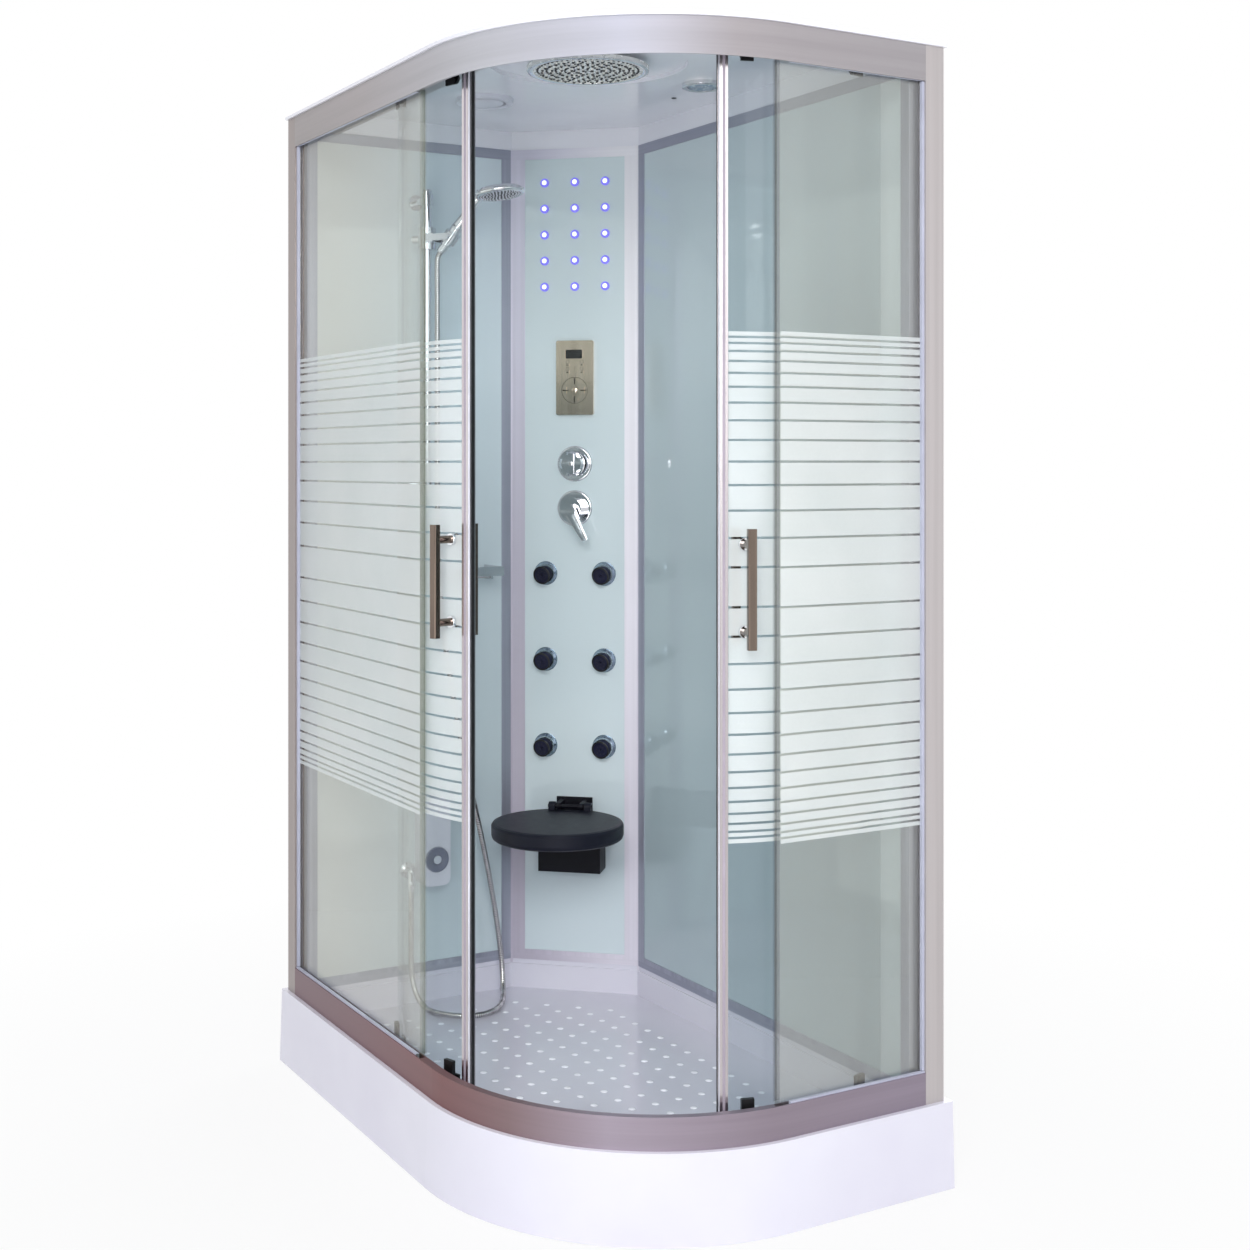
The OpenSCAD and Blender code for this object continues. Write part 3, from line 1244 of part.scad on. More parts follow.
tray();
undertray_frame();
waste_trap();
drain_cover();
bottom_rail();
top_rail();
left_post();
right_post();
glazing_seals();
left_fixed_glass();
right_fixed_glass();
side_wall_glass();
back_wall_glass();
column_glass();
side_wall_frame();
back_wall_frame();
column_frame();
roof();
rain_head();
fan_housing();
fan_cover();
fan_rotor();
light_bezel();
light_lens();
control_panel();
valve_bodies();
diverter_knob();
mixer_cap();
mixer_lever();
jet_bodies();
jet_nozzle_1();
jet_nozzle_2();
jet_nozzle_3();
jet_nozzle_4();
jet_nozzle_5();
jet_nozzle_6();
micro_jets();
plumbing();
slide_bar();
slider();
handset_holder();
handset();
hose();
hose_outlet();
shelf();
foot_unit();
seat_bracket();
seat_board();
left_door_glass();
left_door_profile();
left_door_handle();
left_door_hangers();
left_wheel_lead();
left_wheel_trail();
right_door_glass();
right_door_profile();
right_door_handle();
right_door_hangers();
right_wheel_lead();
right_wheel_trail();
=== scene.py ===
import math

import bmesh
import bpy
from mathutils import Matrix, Vector


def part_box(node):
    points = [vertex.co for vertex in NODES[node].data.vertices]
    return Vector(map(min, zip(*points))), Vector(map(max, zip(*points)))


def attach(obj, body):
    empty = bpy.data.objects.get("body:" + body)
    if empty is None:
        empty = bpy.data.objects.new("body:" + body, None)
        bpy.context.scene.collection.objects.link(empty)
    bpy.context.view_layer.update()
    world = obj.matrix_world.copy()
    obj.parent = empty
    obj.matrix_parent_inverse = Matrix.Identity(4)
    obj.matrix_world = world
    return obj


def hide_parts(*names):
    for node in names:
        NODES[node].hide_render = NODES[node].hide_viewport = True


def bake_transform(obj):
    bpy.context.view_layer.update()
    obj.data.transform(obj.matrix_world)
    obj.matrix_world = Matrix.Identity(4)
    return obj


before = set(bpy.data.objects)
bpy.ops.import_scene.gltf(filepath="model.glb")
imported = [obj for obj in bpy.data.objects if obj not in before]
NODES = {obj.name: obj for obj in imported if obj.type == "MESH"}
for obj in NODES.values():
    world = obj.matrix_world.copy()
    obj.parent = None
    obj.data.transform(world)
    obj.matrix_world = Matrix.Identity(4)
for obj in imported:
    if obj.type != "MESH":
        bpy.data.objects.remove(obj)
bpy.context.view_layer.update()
MM = 0.001
METRE = 1000.0

# Places of the cabin's walls and fittings, in millimetres, as in the part's source.
# The column's face runs from COL along COL_SPAN and looks towards COL_OUT. A place on it
# is given by its distance from COL along the face and its height.
ARC, DOOR_R = Vector((140.0, 60.0)), 404.0
SIDE_X, BACK_Y = -528.0, 328.0
WALL_Z, WALL_TOP = 150.0, 1959.0
FRAME_BARS, BAR_REACH = (161.0, 1948.0), 11.0
COL = Vector((SIDE_X, 114.0, 0.0))
COL_SPAN = Vector((192.0, 214.0, 0.0))
COL_U = COL_SPAN.normalized()
COL_OUT = Vector((COL_U.y, -COL_U.x, 0.0))
COL_GAP, COL_MID = 3.0, 144.753
FLOOR_Z, CEILING = 97.0, 2000.0
DRAIN = (435.0, 180.0)
RAIN, HEAD_Z, NOZZLE_PITCH = (125.0, -64.0), 1985.0, 17.0
FAN, FAN_Z = (-245.0, -93.0), CEILING - 9
LAMP, LAMP_Z = (90.0, 214.0), CEILING - 7
EDGE_BACK = 3.3
HANDLE_Z, HANDLE_PITCH, HANDLE_BACK, ROSETTE_OUT = 1056.0, 145.0, 46.0, 4
PANEL = (COL_MID + 1.5, 1451.0)
DIVERTER_Z, MIXER_Z = 1261, 1163
JET_OUT, JET_TURN = 8, 12
JETS = [(COL_MID + s * 66.0, 637.5 + row * 190.5) for row in (2, 1, 0) for s in (-1, 1)]
MICROS = [(COL_MID + k * 68.5, 1653.0 + row * 57.75) for row in range(5) for k in (-1, 0, 1)]
BAR_X, BAR_Y, BAR_LOW, BAR_TOP = -468, -119.5, 1194, 1844
HOLDER_Z, HOLDER_TURN = 1740, 34
OUTLET_Y, OUTLET_Z = -140, 386
FOOT_UNIT = (SIDE_X + 45, -89, 411)

# A door is laid out closed, with its leading edge at the angle "meet" of the arc, and is
# swung open about its pole. The right one is then mirrored across the corner.
DOORS = {
    "left": {"meet": -50.0, "pole": Vector((27.2975, 465.646)), "swing": -16.5995,
             "mirror": False},
    "right": {"meet": -40.0, "pole": Vector((79.9506, 186.413)), "swing": -25.6291,
              "mirror": True},
}

# Camera at the photograph's angle
scene = bpy.context.scene
cam_data = bpy.data.cameras.new("camera")
camera = bpy.data.objects.new("camera", cam_data)
scene.collection.objects.link(camera)
camera.location = (2.8699, -1.6366, 1.2616)
camera.rotation_euler = (math.radians(90), 0, math.radians(60.17))
cam_data.sensor_width = 36.0
cam_data.lens = 49.33
cam_data.shift_x = 0.0292
cam_data.shift_y = -0.1292
cam_data.clip_start, cam_data.clip_end = 0.05, 200.0
scene.camera = camera
scene.view_settings.view_transform = "Standard"


# Mesh helpers. A shape is a pair of its vertices and faces, in millimetres.
def new_mesh(name, verts, faces, uvs=None):
    me = bpy.data.meshes.new(name)
    me.from_pydata([tuple(v) for v in verts], [], faces)
    me.validate()
    if uvs is not None:
        layer = me.uv_layers.new(name="UVMap")
        for loop in me.loops:
            layer.data[loop.index].uv = uvs[loop.vertex_index]
    me.polygons.foreach_set("use_smooth", [True] * len(me.polygons))
    me.update()
    obj = bpy.data.objects.new(name, me)
    scene.collection.objects.link(obj)
    return obj


def band(n, low, high):
    """Faces between two rings of n points, given the index of each ring's first one."""
    return [(low + k, low + (k + 1) % n, high + (k + 1) % n, high + k) for k in range(n)]


def lathe(profile, steps=48, closed=False):
    """Shape of a profile of (radius, height) turned about Z."""
    verts, faces, rows = [], [], []
    for r, z in profile:
        if r < 1e-6:
            rows.append([len(verts)])
            verts.append((0, 0, z))
        else:
            rows.append(list(range(len(verts), len(verts) + steps)))
            angles = [2 * math.pi * k / steps for k in range(steps)]
            verts += [(r * math.cos(a), r * math.sin(a), z) for a in angles]
    pairs = list(zip(rows, rows[1:])) + ([(rows[-1], rows[0])] if closed else [])
    for a, b in pairs:
        if len(a) == 1 and len(b) == 1:
            continue
        for k in range(steps):
            n = (k + 1) % steps
            if len(a) == 1:
                faces.append((a[0], b[n], b[k]))
            elif len(b) == 1:
                faces.append((a[k], a[n], b[0]))
            else:
                faces.append((a[k], a[n], b[n], b[k]))
    return verts, faces


def rounded(w, h, r, n=6):
    """Outline of a rectangle with round corners."""
    pts = []
    for cx, cy, a0 in ((w / 2 - r, h / 2 - r, 0), (-w / 2 + r, h / 2 - r, 90),
                       (-w / 2 + r, -h / 2 + r, 180), (w / 2 - r, -h / 2 + r, 270)):
        for k in range(n + 1):
            a = math.radians(a0 + 90 * k / n)
            pts.append((cx + r * math.cos(a), cy + r * math.sin(a)))
    return pts


def slab(outline, z0, z1, edge=0.0):
    """Shape of an outline raised from z0 to z1, its top edge eased by edge."""
    n = len(outline)
    rows = [(outline, z0), (outline, z1 - edge)]
    if edge:
        cx = sum(p[0] for p in outline) / n
        cy = sum(p[1] for p in outline) / n
        span = max(math.hypot(p[0] - cx, p[1] - cy) for p in outline)
        k = 1 - edge / span
        rows.append(([(cx + (p[0] - cx) * k, cy + (p[1] - cy) * k) for p in outline], z1))
    verts = [(p[0], p[1], z) for pts, z in rows for p in pts]
    last = (len(rows) - 1) * n
    faces = [tuple(range(n - 1, -1, -1)), tuple(range(last, last + n))]
    for r in range(len(rows) - 1):
        faces += band(n, r * n, (r + 1) * n)
    return verts, faces


def many(name, shape, places):
    """One mesh with the shape set at each 4x4 place."""
    verts, faces = [], []
    for place in places:
        base = len(verts)
        verts += [(place @ Vector(v)) * MM for v in shape[0]]
        faces += [tuple(base + i for i in f) for f in shape[1]]
    return new_mesh(name, verts, faces)


def sharp(obj, degrees=35):
    """Smooth shading except across edges sharper than this."""
    me = obj.data
    bm = bmesh.new()
    bm.from_mesh(me)
    bmesh.ops.recalc_face_normals(bm, faces=bm.faces)
    limit = math.radians(degrees)
    for e in bm.edges:
        e.smooth = not (len(e.link_faces) == 2 and e.calc_face_angle(0) > limit)
    bm.to_mesh(me)
    bm.free()
    return obj


def shade(obj, look):
    """Gives a piece or a carried-over node its material."""
    slots = obj.data.materials
    if len(slots):
        for k in range(len(slots)):
            slots[k] = look.mat
    else:
        slots.append(look.mat)
    return obj


def dress(name, shape, places, look, body, crisp=False):
    """New piece: the shape at each place, with its material, riding on its body."""
    piece = many(name, shape, places)
    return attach(shade(sharp(piece) if crisp else piece, look), body)


# Places
def move(x, y, z):
    return Matrix.Translation((x, y, z))


def turn(degrees, axis):
    return Matrix.Rotation(math.radians(degrees), 4, axis)


def towards(point, direction):
    """Place at a point, with Z along a direction."""
    return move(*point) @ direction.to_track_quat("Z", "Y").to_matrix().to_4x4()


def column_place(s, z, out=0.0):
    """Place on the column's face: X along it, Y up, Z out into the cabin."""
    p = COL + COL_U * s + COL_OUT * out + Vector((0, 0, z))
    rot = Matrix((COL_U, Vector((0, 0, 1)), COL_OUT)).transposed().to_4x4()
    return Matrix.Translation(p) @ rot


def door_point(side, back, out, along, z):
    """Point on a door at rest.

    It starts this far back from the leading edge, and goes out of the cabin and along
    towards that edge.
    """
    d = DOORS[side]
    a = math.radians(d["meet"] - math.degrees(back / DOOR_R))
    c, s = math.cos(a), math.sin(a)
    p = ARC + Vector((c, s)) * (DOOR_R + out) + Vector((-s, c)) * along
    v = p - d["pole"]
    t = math.radians(d["swing"])
    c, s = math.cos(t), math.sin(t)
    p = d["pole"] + Vector((v.x * c - v.y * s, v.x * s + v.y * c))
    if d["mirror"]:
        p = Vector((ARC.x - (p.y - ARC.y), ARC.y - (p.x - ARC.x)))
    return Vector((p.x, p.y, z))


# Materials. Tones are written as they look, and turned to linear light here.
NOISE_LOW, NOISE_HIGH = 0.3, 0.7
GRAZING_SHARE, GRAZING_POWER = 0.7, 5.0
EDGE_SEAL = 0.010
WHITE = (1, 1, 1, 1)
UPRIGHT, LEVEL = (1, 1, 0.012), (0.02, 0.02, 1)
FRONT_REACH = 0.95


def tone(r, g, b):
    linear = [((c + 0.055) / 1.055) ** 2.4 if c > 0.04045 else c / 12.92 for c in (r, g, b)]
    return (*linear, 1.0)


class Look:
    """A Principled material with helpers for its variation. Its lengths are in metres."""

    def __init__(self, name, **sockets):
        self.mat = bpy.data.materials.new(name)
        self.mat.use_nodes = True
        self.nodes = self.mat.node_tree.nodes
        self.links = self.mat.node_tree.links
        self.bsdf = self.nodes["Principled BSDF"]
        self.out = self.nodes["Material Output"]
        for key, value in sockets.items():
            self.bsdf.inputs[key.replace("_", " ")].default_value = value
        self.coord = self.add("ShaderNodeTexCoord")

    def add(self, kind, inputs=None, **props):
        node = self.nodes.new(kind)
        for key, value in props.items():
            setattr(node, key, value)
        for key, value in (inputs or {}).items():
            node.inputs[key].default_value = value
        return node

    def place(self, scale=(1, 1, 1), source="Object"):
        node = self.add("ShaderNodeMapping", {"Scale": scale})
        self.links.new(self.coord.outputs[source], node.inputs["Vector"])
        return node.outputs["Vector"]

    def noise(self, scale, detail=3.0, stretch=(1, 1, 1)):
        sizes = {"Scale": scale, "Detail": detail, "Roughness": 0.55}
        node = self.add("ShaderNodeTexNoise", sizes)
        self.links.new(self.place(stretch), node.inputs["Vector"])
        return node.outputs["Fac"]

    def ramp(self, fac, stops):
        node = self.add("ShaderNodeValToRGB")
        ramp = node.color_ramp
        ramp.elements[0].position, ramp.elements[0].color = stops[0]
        ramp.elements[1].position, ramp.elements[1].color = stops[-1]
        for at, colour in stops[1:-1]:
            ramp.elements.new(at).color = colour
        self.links.new(fac, node.inputs["Fac"])
        return node.outputs["Color"]

    def mottle(self, noise, low, high):
        """Two tones that change into each other with a noise."""
        return self.ramp(noise, [(NOISE_LOW, tone(*low)), (NOISE_HIGH, tone(*high))])

    def mix(self, fac, a, b, blend="MIX"):
        node = self.add("ShaderNodeMix", data_type="RGBA", blend_type=blend)
        for value, socket in ((fac, node.inputs[0]), (a, node.inputs[6]), (b, node.inputs[7])):
            if isinstance(value, bpy.types.NodeSocket):
                self.links.new(value, socket)
            else:
                socket.default_value = value
        return node.outputs[2]

    def veil(self, base, noise, share):
        """A colour that falls to a share of itself where the noise is low."""
        grey = self.ramp(noise, [(NOISE_LOW, (share, share, share, 1)), (NOISE_HIGH, WHITE)])
        return self.mix(1.0, base, grey, "MULTIPLY")

    def mix_shader(self, share, a, b):
        """Puts the mix of two shaders on the surface."""
        node = self.add("ShaderNodeMixShader")
        for k, socket in enumerate((share, a.outputs[0], b.outputs[0])):
            self.links.new(socket, node.inputs[k])
        self.links.new(node.outputs[0], self.out.inputs["Surface"])

    def span(self, fac, low, high, start=0.0, end=1.0):
        """Low at the start, high at the end, and even between them."""
        limits = {"From Min": start, "From Max": end, "To Min": low, "To Max": high}
        node = self.add("ShaderNodeMapRange", limits)
        self.links.new(fac, node.inputs["Value"])
        return node.outputs["Result"]

    def axis(self, index):
        node = self.add("ShaderNodeSeparateXYZ")
        self.links.new(self.coord.outputs["Object"], node.inputs[0])
        return node.outputs[index]

    def along(self, direction):
        """Distance along a direction."""
        node = self.add("ShaderNodeVectorMath", {1: tuple(direction)}, operation="DOT_PRODUCT")
        self.links.new(self.coord.outputs["Object"], node.inputs[0])
        return node.outputs["Value"]

    def near(self, index, at, reach):
        """1 where a coordinate is within reach of a value, or else 0."""
        node = self.add("ShaderNodeMath", {1: at, 2: reach}, operation="COMPARE")
        self.links.new(self.axis(index), node.inputs[0])
        return node.outputs[0]

    def either(self, a, b):
        """The larger of two values."""
        node = self.add("ShaderNodeMath", operation="MAXIMUM")
        self.links.new(a, node.inputs[0])
        self.links.new(b, node.inputs[1])
        return node.outputs[0]

    def brush(self, stretch):
        return self.noise(60, 4, stretch)

    def frame_brush(self):
        """Brushing of a wall frame: upright on its stiles, level on its two bars."""
        upright, level = self.brush(UPRIGHT), self.brush(LEVEL)
        bars = [self.near(2, z * MM, BAR_REACH * MM) for z in FRAME_BARS]
        return self.mix(self.either(*bars), upright, level)

    def base_colour(self):
        """The socket that gives the base colour so far."""
        return self.bsdf.inputs["Base Color"].links[0].from_socket

    def colour(self, socket):
        self.links.new(socket, self.bsdf.inputs["Base Color"])
        return self

    def rough(self, fac, low, high):
        self.links.new(self.span(fac, low, high), self.bsdf.inputs["Roughness"])
        return self

    def bump(self, height, distance, strength=1.0, target=None):
        node = self.add("ShaderNodeBump", {"Distance": distance, "Strength": strength})
        self.links.new(height, node.inputs["Height"])
        self.links.new(node.outputs["Normal"], (target or self.bsdf).inputs["Normal"])
        return self

    def brushed(self, brush, rough):
        """Roughness and fine relief that follow the brushing."""
        return self.rough(brush, *rough).bump(brush, 0.00012, 0.3)


def acrylic(name, low, high):
    m = Look(name, IOR=1.49, Specular_IOR_Level=0.5, Coat_Weight=0.35, Coat_Roughness=0.05)
    m.colour(m.mottle(m.noise(3.0, 3), low, high))
    m.rough(m.noise(40, 4), 0.14, 0.24)
    return m.bump(m.noise(55, 2), 0.00025, 0.25)


def brushed_metal(name, low, high, rough, stretch=None, metal=1.0):
    """Metal with fine brushing, by default brushed as a wall frame is."""
    m = Look(name, Metallic=metal, Specular_IOR_Level=0.5)
    brush = m.brush(stretch) if stretch else m.frame_brush()
    m.colour(m.mottle(brush, low, high))
    return m.brushed(brush, rough)


def front_metal_painted_light(name, stops, stretch, rough, metal, specular=0.5):
    """Brushed aluminium with painted light along the front, from the left post to the right."""
    m = Look(name, Metallic=metal, Specular_IOR_Level=specular)
    across = m.span(m.along((1, 1, 0)), 0, 1, -FRONT_REACH, FRONT_REACH)
    base = m.ramp(across, [(at, tone(*c)) for at, c in stops])
    brush = m.brush(stretch)
    m.colour(m.veil(base, brush, 0.86))
    return m.brushed(brush, rough)


def column_metal_painted_light():
    """Brushed aluminium of the column's frame, with painted light: lighter to the back wall and
    top.
    """
    m = Look("column_aluminium", Metallic=0.1)
    start = COL.dot(COL_U) * MM
    across = m.span(m.along(COL_U), 0, 1, start + 0.06, start + 0.24)
    height = m.span(m.axis(2), 0, 1, 0.7, 1.7)
    near = m.mix(height, tone(0.79, 0.76, 0.82), tone(0.89, 0.88, 0.94))
    far = m.mix(height, tone(0.92, 0.90, 0.945), tone(0.975, 0.97, 0.99))
    brush = m.frame_brush()
    m.colour(m.veil(m.mix(across, near, far), brush, 0.90))
    return m.brushed(brush, (0.3, 0.44))


def panel_metal():
    """Gold of the control panel's face. Its case behind the wall is grey plastic."""
    m = brushed_metal("panel_gold", (0.71, 0.665, 0.60), (0.79, 0.745, 0.68), (0.10, 0.2),
                      (1, 1, 0.02))
    cloud = m.span(m.noise(1.6, 2, (1, 1, 0.35)), 0, 1, 0.38, 0.62)
    gold = m.mix(cloud, m.base_colour(), tone(0.68, 0.64, 0.59))
    wall = COL.dot(COL_OUT) * MM
    face = m.span(m.along(COL_OUT), 0, 1, wall - 0.0006, wall - 0.0002)
    m.links.new(face, m.bsdf.inputs["Metallic"])
    return m.colour(m.mix(face, tone(0.56, 0.57, 0.60), gold))


def chromed(name, rough=(0.03, 0.09), tint=(0.90, 0.905, 0.92)):
    m = Look(name, Metallic=1.0)
    m.colour(m.mottle(m.noise(9, 2), [c * 0.97 for c in tint], tint))
    m.rough(m.noise(30, 4), *rough)
    return m.bump(m.noise(25, 1), 0.0002, 0.12)


def plastic(name, low, high, rough=(0.35, 0.5), grain=900, depth=0.00006, coat=0.0,
            specular=0.5):
    m = Look(name, IOR=1.5, Coat_Weight=coat, Coat_Roughness=0.12, Specular_IOR_Level=specular)
    m.colour(m.mottle(m.noise(14, 4), low, high))
    m.rough(m.noise(60, 3), *rough)
    return m.bump(m.noise(grain, 2), depth, 0.6)


def seal_vinyl():
    """Pale vinyl, but clear and tinted on the free edges of the two fixed panes."""
    m = plastic("seal_vinyl", (0.70, 0.71, 0.78), (0.77, 0.78, 0.85), (0.3, 0.42), 500)
    left = m.near(0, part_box("left_fixed_glass")[1].x, EDGE_SEAL)
    right = m.near(1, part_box("right_fixed_glass")[0].y, EDGE_SEAL)
    m.links.new(m.span(m.either(left, right), 1.0, 0.10), m.bsdf.inputs["Alpha"])
    vinyl = m.mix(left, m.base_colour(), tone(0.60, 0.64, 0.55))
    return m.colour(m.mix(right, vinyl, tone(0.36, 0.38, 0.44)))


def clear_glass(name, tint, sheen, gloss=(1.0, 1.0, 1.0)):
    """Clear pane: it lets light through, and mirrors more of it at a low angle."""
    m = Look(name)
    m.nodes.remove(m.bsdf)
    through = m.add("ShaderNodeBsdfTransparent")
    paler = [min(1, c * 1.012) for c in tint]
    colour = m.ramp(m.noise(1.2, 2), [(0.35, tone(*tint)), (0.65, tone(*paler))])
    m.links.new(colour, through.inputs["Color"])
    mirror = m.add("ShaderNodeBsdfGlossy", {"Roughness": 0.015, "Color": tone(*gloss)})
    m.bump(m.noise(2.5, 1), 0.002, 0.05, mirror)
    facing = m.add("ShaderNodeLayerWeight", {"Blend": 0.5})
    power = m.add("ShaderNodeMath", {1: GRAZING_POWER}, operation="POWER")
    m.links.new(facing.outputs["Facing"], power.inputs[0])
    m.mix_shader(m.span(power.outputs[0], sheen, GRAZING_SHARE), through, mirror)
    return m


def coated_glass(name, low, high, cream=None, cream_span=None):
    """Glass with a pale coating behind it, and painted light: lighter towards its top.

    Over the span, in metres of Y, it turns to the cream tone.
    """
    m = Look(name, Roughness=0.06, IOR=1.52, Coat_Weight=0.6, Coat_Roughness=0.02)
    base = m.mix(m.span(m.axis(2), 0, 1, 0.5, 1.85), tone(*low), tone(*high))
    if cream:
        base = m.mix(m.span(m.axis(1), 0, 1, *cream_span), base, tone(*cream))
    m.colour(m.veil(base, m.noise(1.4, 3), 0.94))
    return m.bump(m.noise(3, 1), 0.001, 0.04)


def frosted():
    """Printed film, with fine grains that let a little light through."""
    m = Look("frosted_film", Roughness=0.55, IOR=1.45)
    m.links.new(m.span(m.noise(700, 2), 0.58, 0.68), m.bsdf.inputs["Alpha"])
    return m.colour(m.mottle(m.noise(5, 3), (0.90, 0.925, 0.92), (0.94, 0.955, 0.95)))


def hose_metal():
    """Steel spiral, its turns following the hose's own length."""
    m = Look("hose_spiral", Metallic=1.0)
    wave = m.add("ShaderNodeTexWave", {"Scale": 80.0, "Distortion": 0.0},
                 wave_type="BANDS", bands_direction="Y")
    m.links.new(m.place(source="UV"), wave.inputs["Vector"])
    m.colour(m.ramp(wave.outputs["Fac"],
                    [(0.1, tone(0.52, 0.50, 0.50)), (0.6, tone(0.86, 0.85, 0.85))]))
    return m.rough(m.noise(80, 3), 0.16, 0.3)


def spray_plate():
    m = Look("spray_plate", Metallic=0.35)
    m.colour(m.mottle(m.noise(12, 2), (0.90, 0.90, 0.88), (0.95, 0.95, 0.94)))
    return m.rough(m.noise(40, 3), 0.22, 0.32)


def lamp_lens():
    """Lens moulded in small cells."""
    m = Look("lamp_lens", Roughness=0.12, IOR=1.5, Coat_Weight=0.4)
    cells = m.add("ShaderNodeTexVoronoi", {"Scale": 150.0}, feature="F1")
    m.links.new(m.place(), cells.inputs["Vector"])
    m.colour(m.ramp(cells.outputs["Distance"],
                    [(0.1, tone(0.80, 0.87, 0.90)), (0.6, tone(0.50, 0.60, 0.68))]))
    return m.bump(cells.outputs["Distance"], 0.0012, 0.9)


def glowing(name, colour, strength):
    m = Look(name, Roughness=0.3, Emission_Strength=strength)
    tint = m.mottle(m.noise(120, 2), [c * 0.94 for c in colour], colour)
    m.links.new(tint, m.bsdf.inputs["Emission Color"])
    return m.colour(tint)


ACRYLIC = acrylic("white_acrylic", (0.865, 0.855, 0.905), (0.90, 0.893, 0.932))
# The dots are a lighter copy of the tray's acrylic: painted highlight where they catch the
# light.
DOTS_PAINTED_HIGHLIGHT = acrylic("dot_acrylic_painted_highlight", (0.955, 0.955, 0.985), (0.975, 0.975, 1.0))
# The ceiling's acrylic is lighter than the tray's: painted light against the shade under the
# roof.
CEILING_PAINTED_LIGHT = acrylic("ceiling_acrylic_painted_light", (0.935, 0.935, 0.965), (0.955, 0.955, 0.98))

# Painted light: the top rail lighter in its middle, the low rail brown-pink on its left as
# painted reflection, the posts darker on the left as painted shade.
RAIL_PAINTED_LIGHT = [
    (0.03, (0.69, 0.665, 0.66)), (0.2, (0.705, 0.68, 0.68)), (0.45, (0.75, 0.75, 0.77)),
    (0.65, (0.74, 0.74, 0.785)), (0.78, (0.66, 0.635, 0.645)), (0.97, (0.65, 0.63, 0.64)),
]
LOW_RAIL_PAINTED_LIGHT = [
    (0.03, (0.50, 0.405, 0.43)), (0.2, (0.495, 0.38, 0.40)), (0.39, (0.50, 0.345, 0.345)),
    (0.5, (0.54, 0.45, 0.46)), (0.63, (0.66, 0.615, 0.665)), (0.82, (0.565, 0.515, 0.56)),
    (0.97, (0.565, 0.52, 0.575)),
]
POST_PAINTED_LIGHT = [(0.0, (0.645, 0.605, 0.595)), (1.0, (0.755, 0.73, 0.73))]
RAIL = front_metal_painted_light("rail_aluminium", RAIL_PAINTED_LIGHT, LEVEL, (0.46, 0.58), 0.15, specular=0.25)
LOW_RAIL = front_metal_painted_light("low_rail_aluminium", LOW_RAIL_PAINTED_LIGHT, LEVEL, (0.34, 0.48), 0.45)
POST = front_metal_painted_light("post_aluminium", POST_PAINTED_LIGHT, UPRIGHT, (0.32, 0.46), 0.5)
STRIP = brushed_metal("strip_aluminium", (0.72, 0.69, 0.70), (0.83, 0.81, 0.82),
                      (0.14, 0.26), UPRIGHT)
FRAME = brushed_metal("frame_aluminium", (0.60, 0.61, 0.67), (0.69, 0.70, 0.755),
                      (0.26, 0.4), metal=0.5)
COLUMN_FRAME = column_metal_painted_light()
GOLD = panel_metal()
BRASS = brushed_metal("brass_pipe", (0.70, 0.56, 0.32), (0.78, 0.64, 0.40), (0.25, 0.4),
                      (1, 1, 0.1))
STEEL = brushed_metal("galvanised_steel", (0.55, 0.57, 0.60), (0.70, 0.72, 0.74),
                      (0.4, 0.55), (1, 1, 1))
CHROME = chromed("chrome")
CHROME_SATIN = chromed("chromed_plastic", (0.08, 0.16), (0.86, 0.865, 0.88))
# The handles' dark brown tint is a painted reflection of brown surroundings on chrome.
HANDLE = chromed("handle_chrome_painted_reflection", (0.07, 0.14), (0.47, 0.42, 0.385))
JET_METAL = chromed("jet_chrome", (0.12, 0.2), (0.66, 0.72, 0.77))
SPRAY = spray_plate()
HOSE = hose_metal()

FIXED_GLASS = clear_glass("fixed_glass", (0.962, 0.967, 0.96), 0.085, (1.0, 0.985, 0.96))
SIDE_PANE_GLASS = clear_glass("side_pane_glass", (0.962, 0.967, 0.96), 0.125,
                              (1.0, 0.99, 0.965))
DOOR_GLASS = clear_glass("door_glass", (0.952, 0.966, 0.97), 0.02)
COLUMN_GLASS = coated_glass("column_glass", (0.86, 0.91, 0.93), (0.87, 0.925, 0.935))
SIDE_GLASS = coated_glass("side_glass", (0.83, 0.885, 0.905), (0.88, 0.93, 0.955),
                          (0.85, 0.865, 0.86), (-0.12, -0.30))
# The back wall's glass gets darker tones than the side wall's, as painted shade.
BACK_GLASS_PAINTED_SHADE = coated_glass("back_glass_painted_shade", (0.725, 0.79, 0.81), (0.815, 0.87, 0.885))
FILM = frosted()
LENS = lamp_lens()
VIOLET = glowing("violet_light", (0.52, 0.50, 0.93), 0.5)
LED = glowing("white_light", (0.95, 0.97, 1.0), 1.1)

SEAL = seal_vinyl()
BLACK_SEAL = plastic("black_seal", (0.02, 0.02, 0.025), (0.05, 0.05, 0.055), (0.4, 0.55), 700)
CLEAR_LIP = plastic("clear_lip", (0.80, 0.80, 0.84), (0.88, 0.88, 0.92), (0.2, 0.3), 300,
                    coat=0.3)
SEAT_TOP = plastic("seat_plastic", (0.075, 0.08, 0.13), (0.09, 0.10, 0.15), (0.38, 0.46),
                   depth=0.00003, specular=0.22)
SEAT_BOX = plastic("seat_box_plastic", (0.045, 0.045, 0.08), (0.065, 0.065, 0.105),
                   (0.42, 0.52), depth=0.00003, specular=0.2)
JET_NAVY = plastic("jet_plastic", (0.09, 0.095, 0.18), (0.12, 0.125, 0.235), (0.36, 0.48),
                   depth=0.00004, specular=0.28)
BLACK = plastic("black_plastic", (0.035, 0.035, 0.045), (0.06, 0.06, 0.07), (0.32, 0.46))
WHITE_PLASTIC = plastic("white_plastic", (0.86, 0.86, 0.90), (0.90, 0.90, 0.935),
                        (0.26, 0.4), 700)
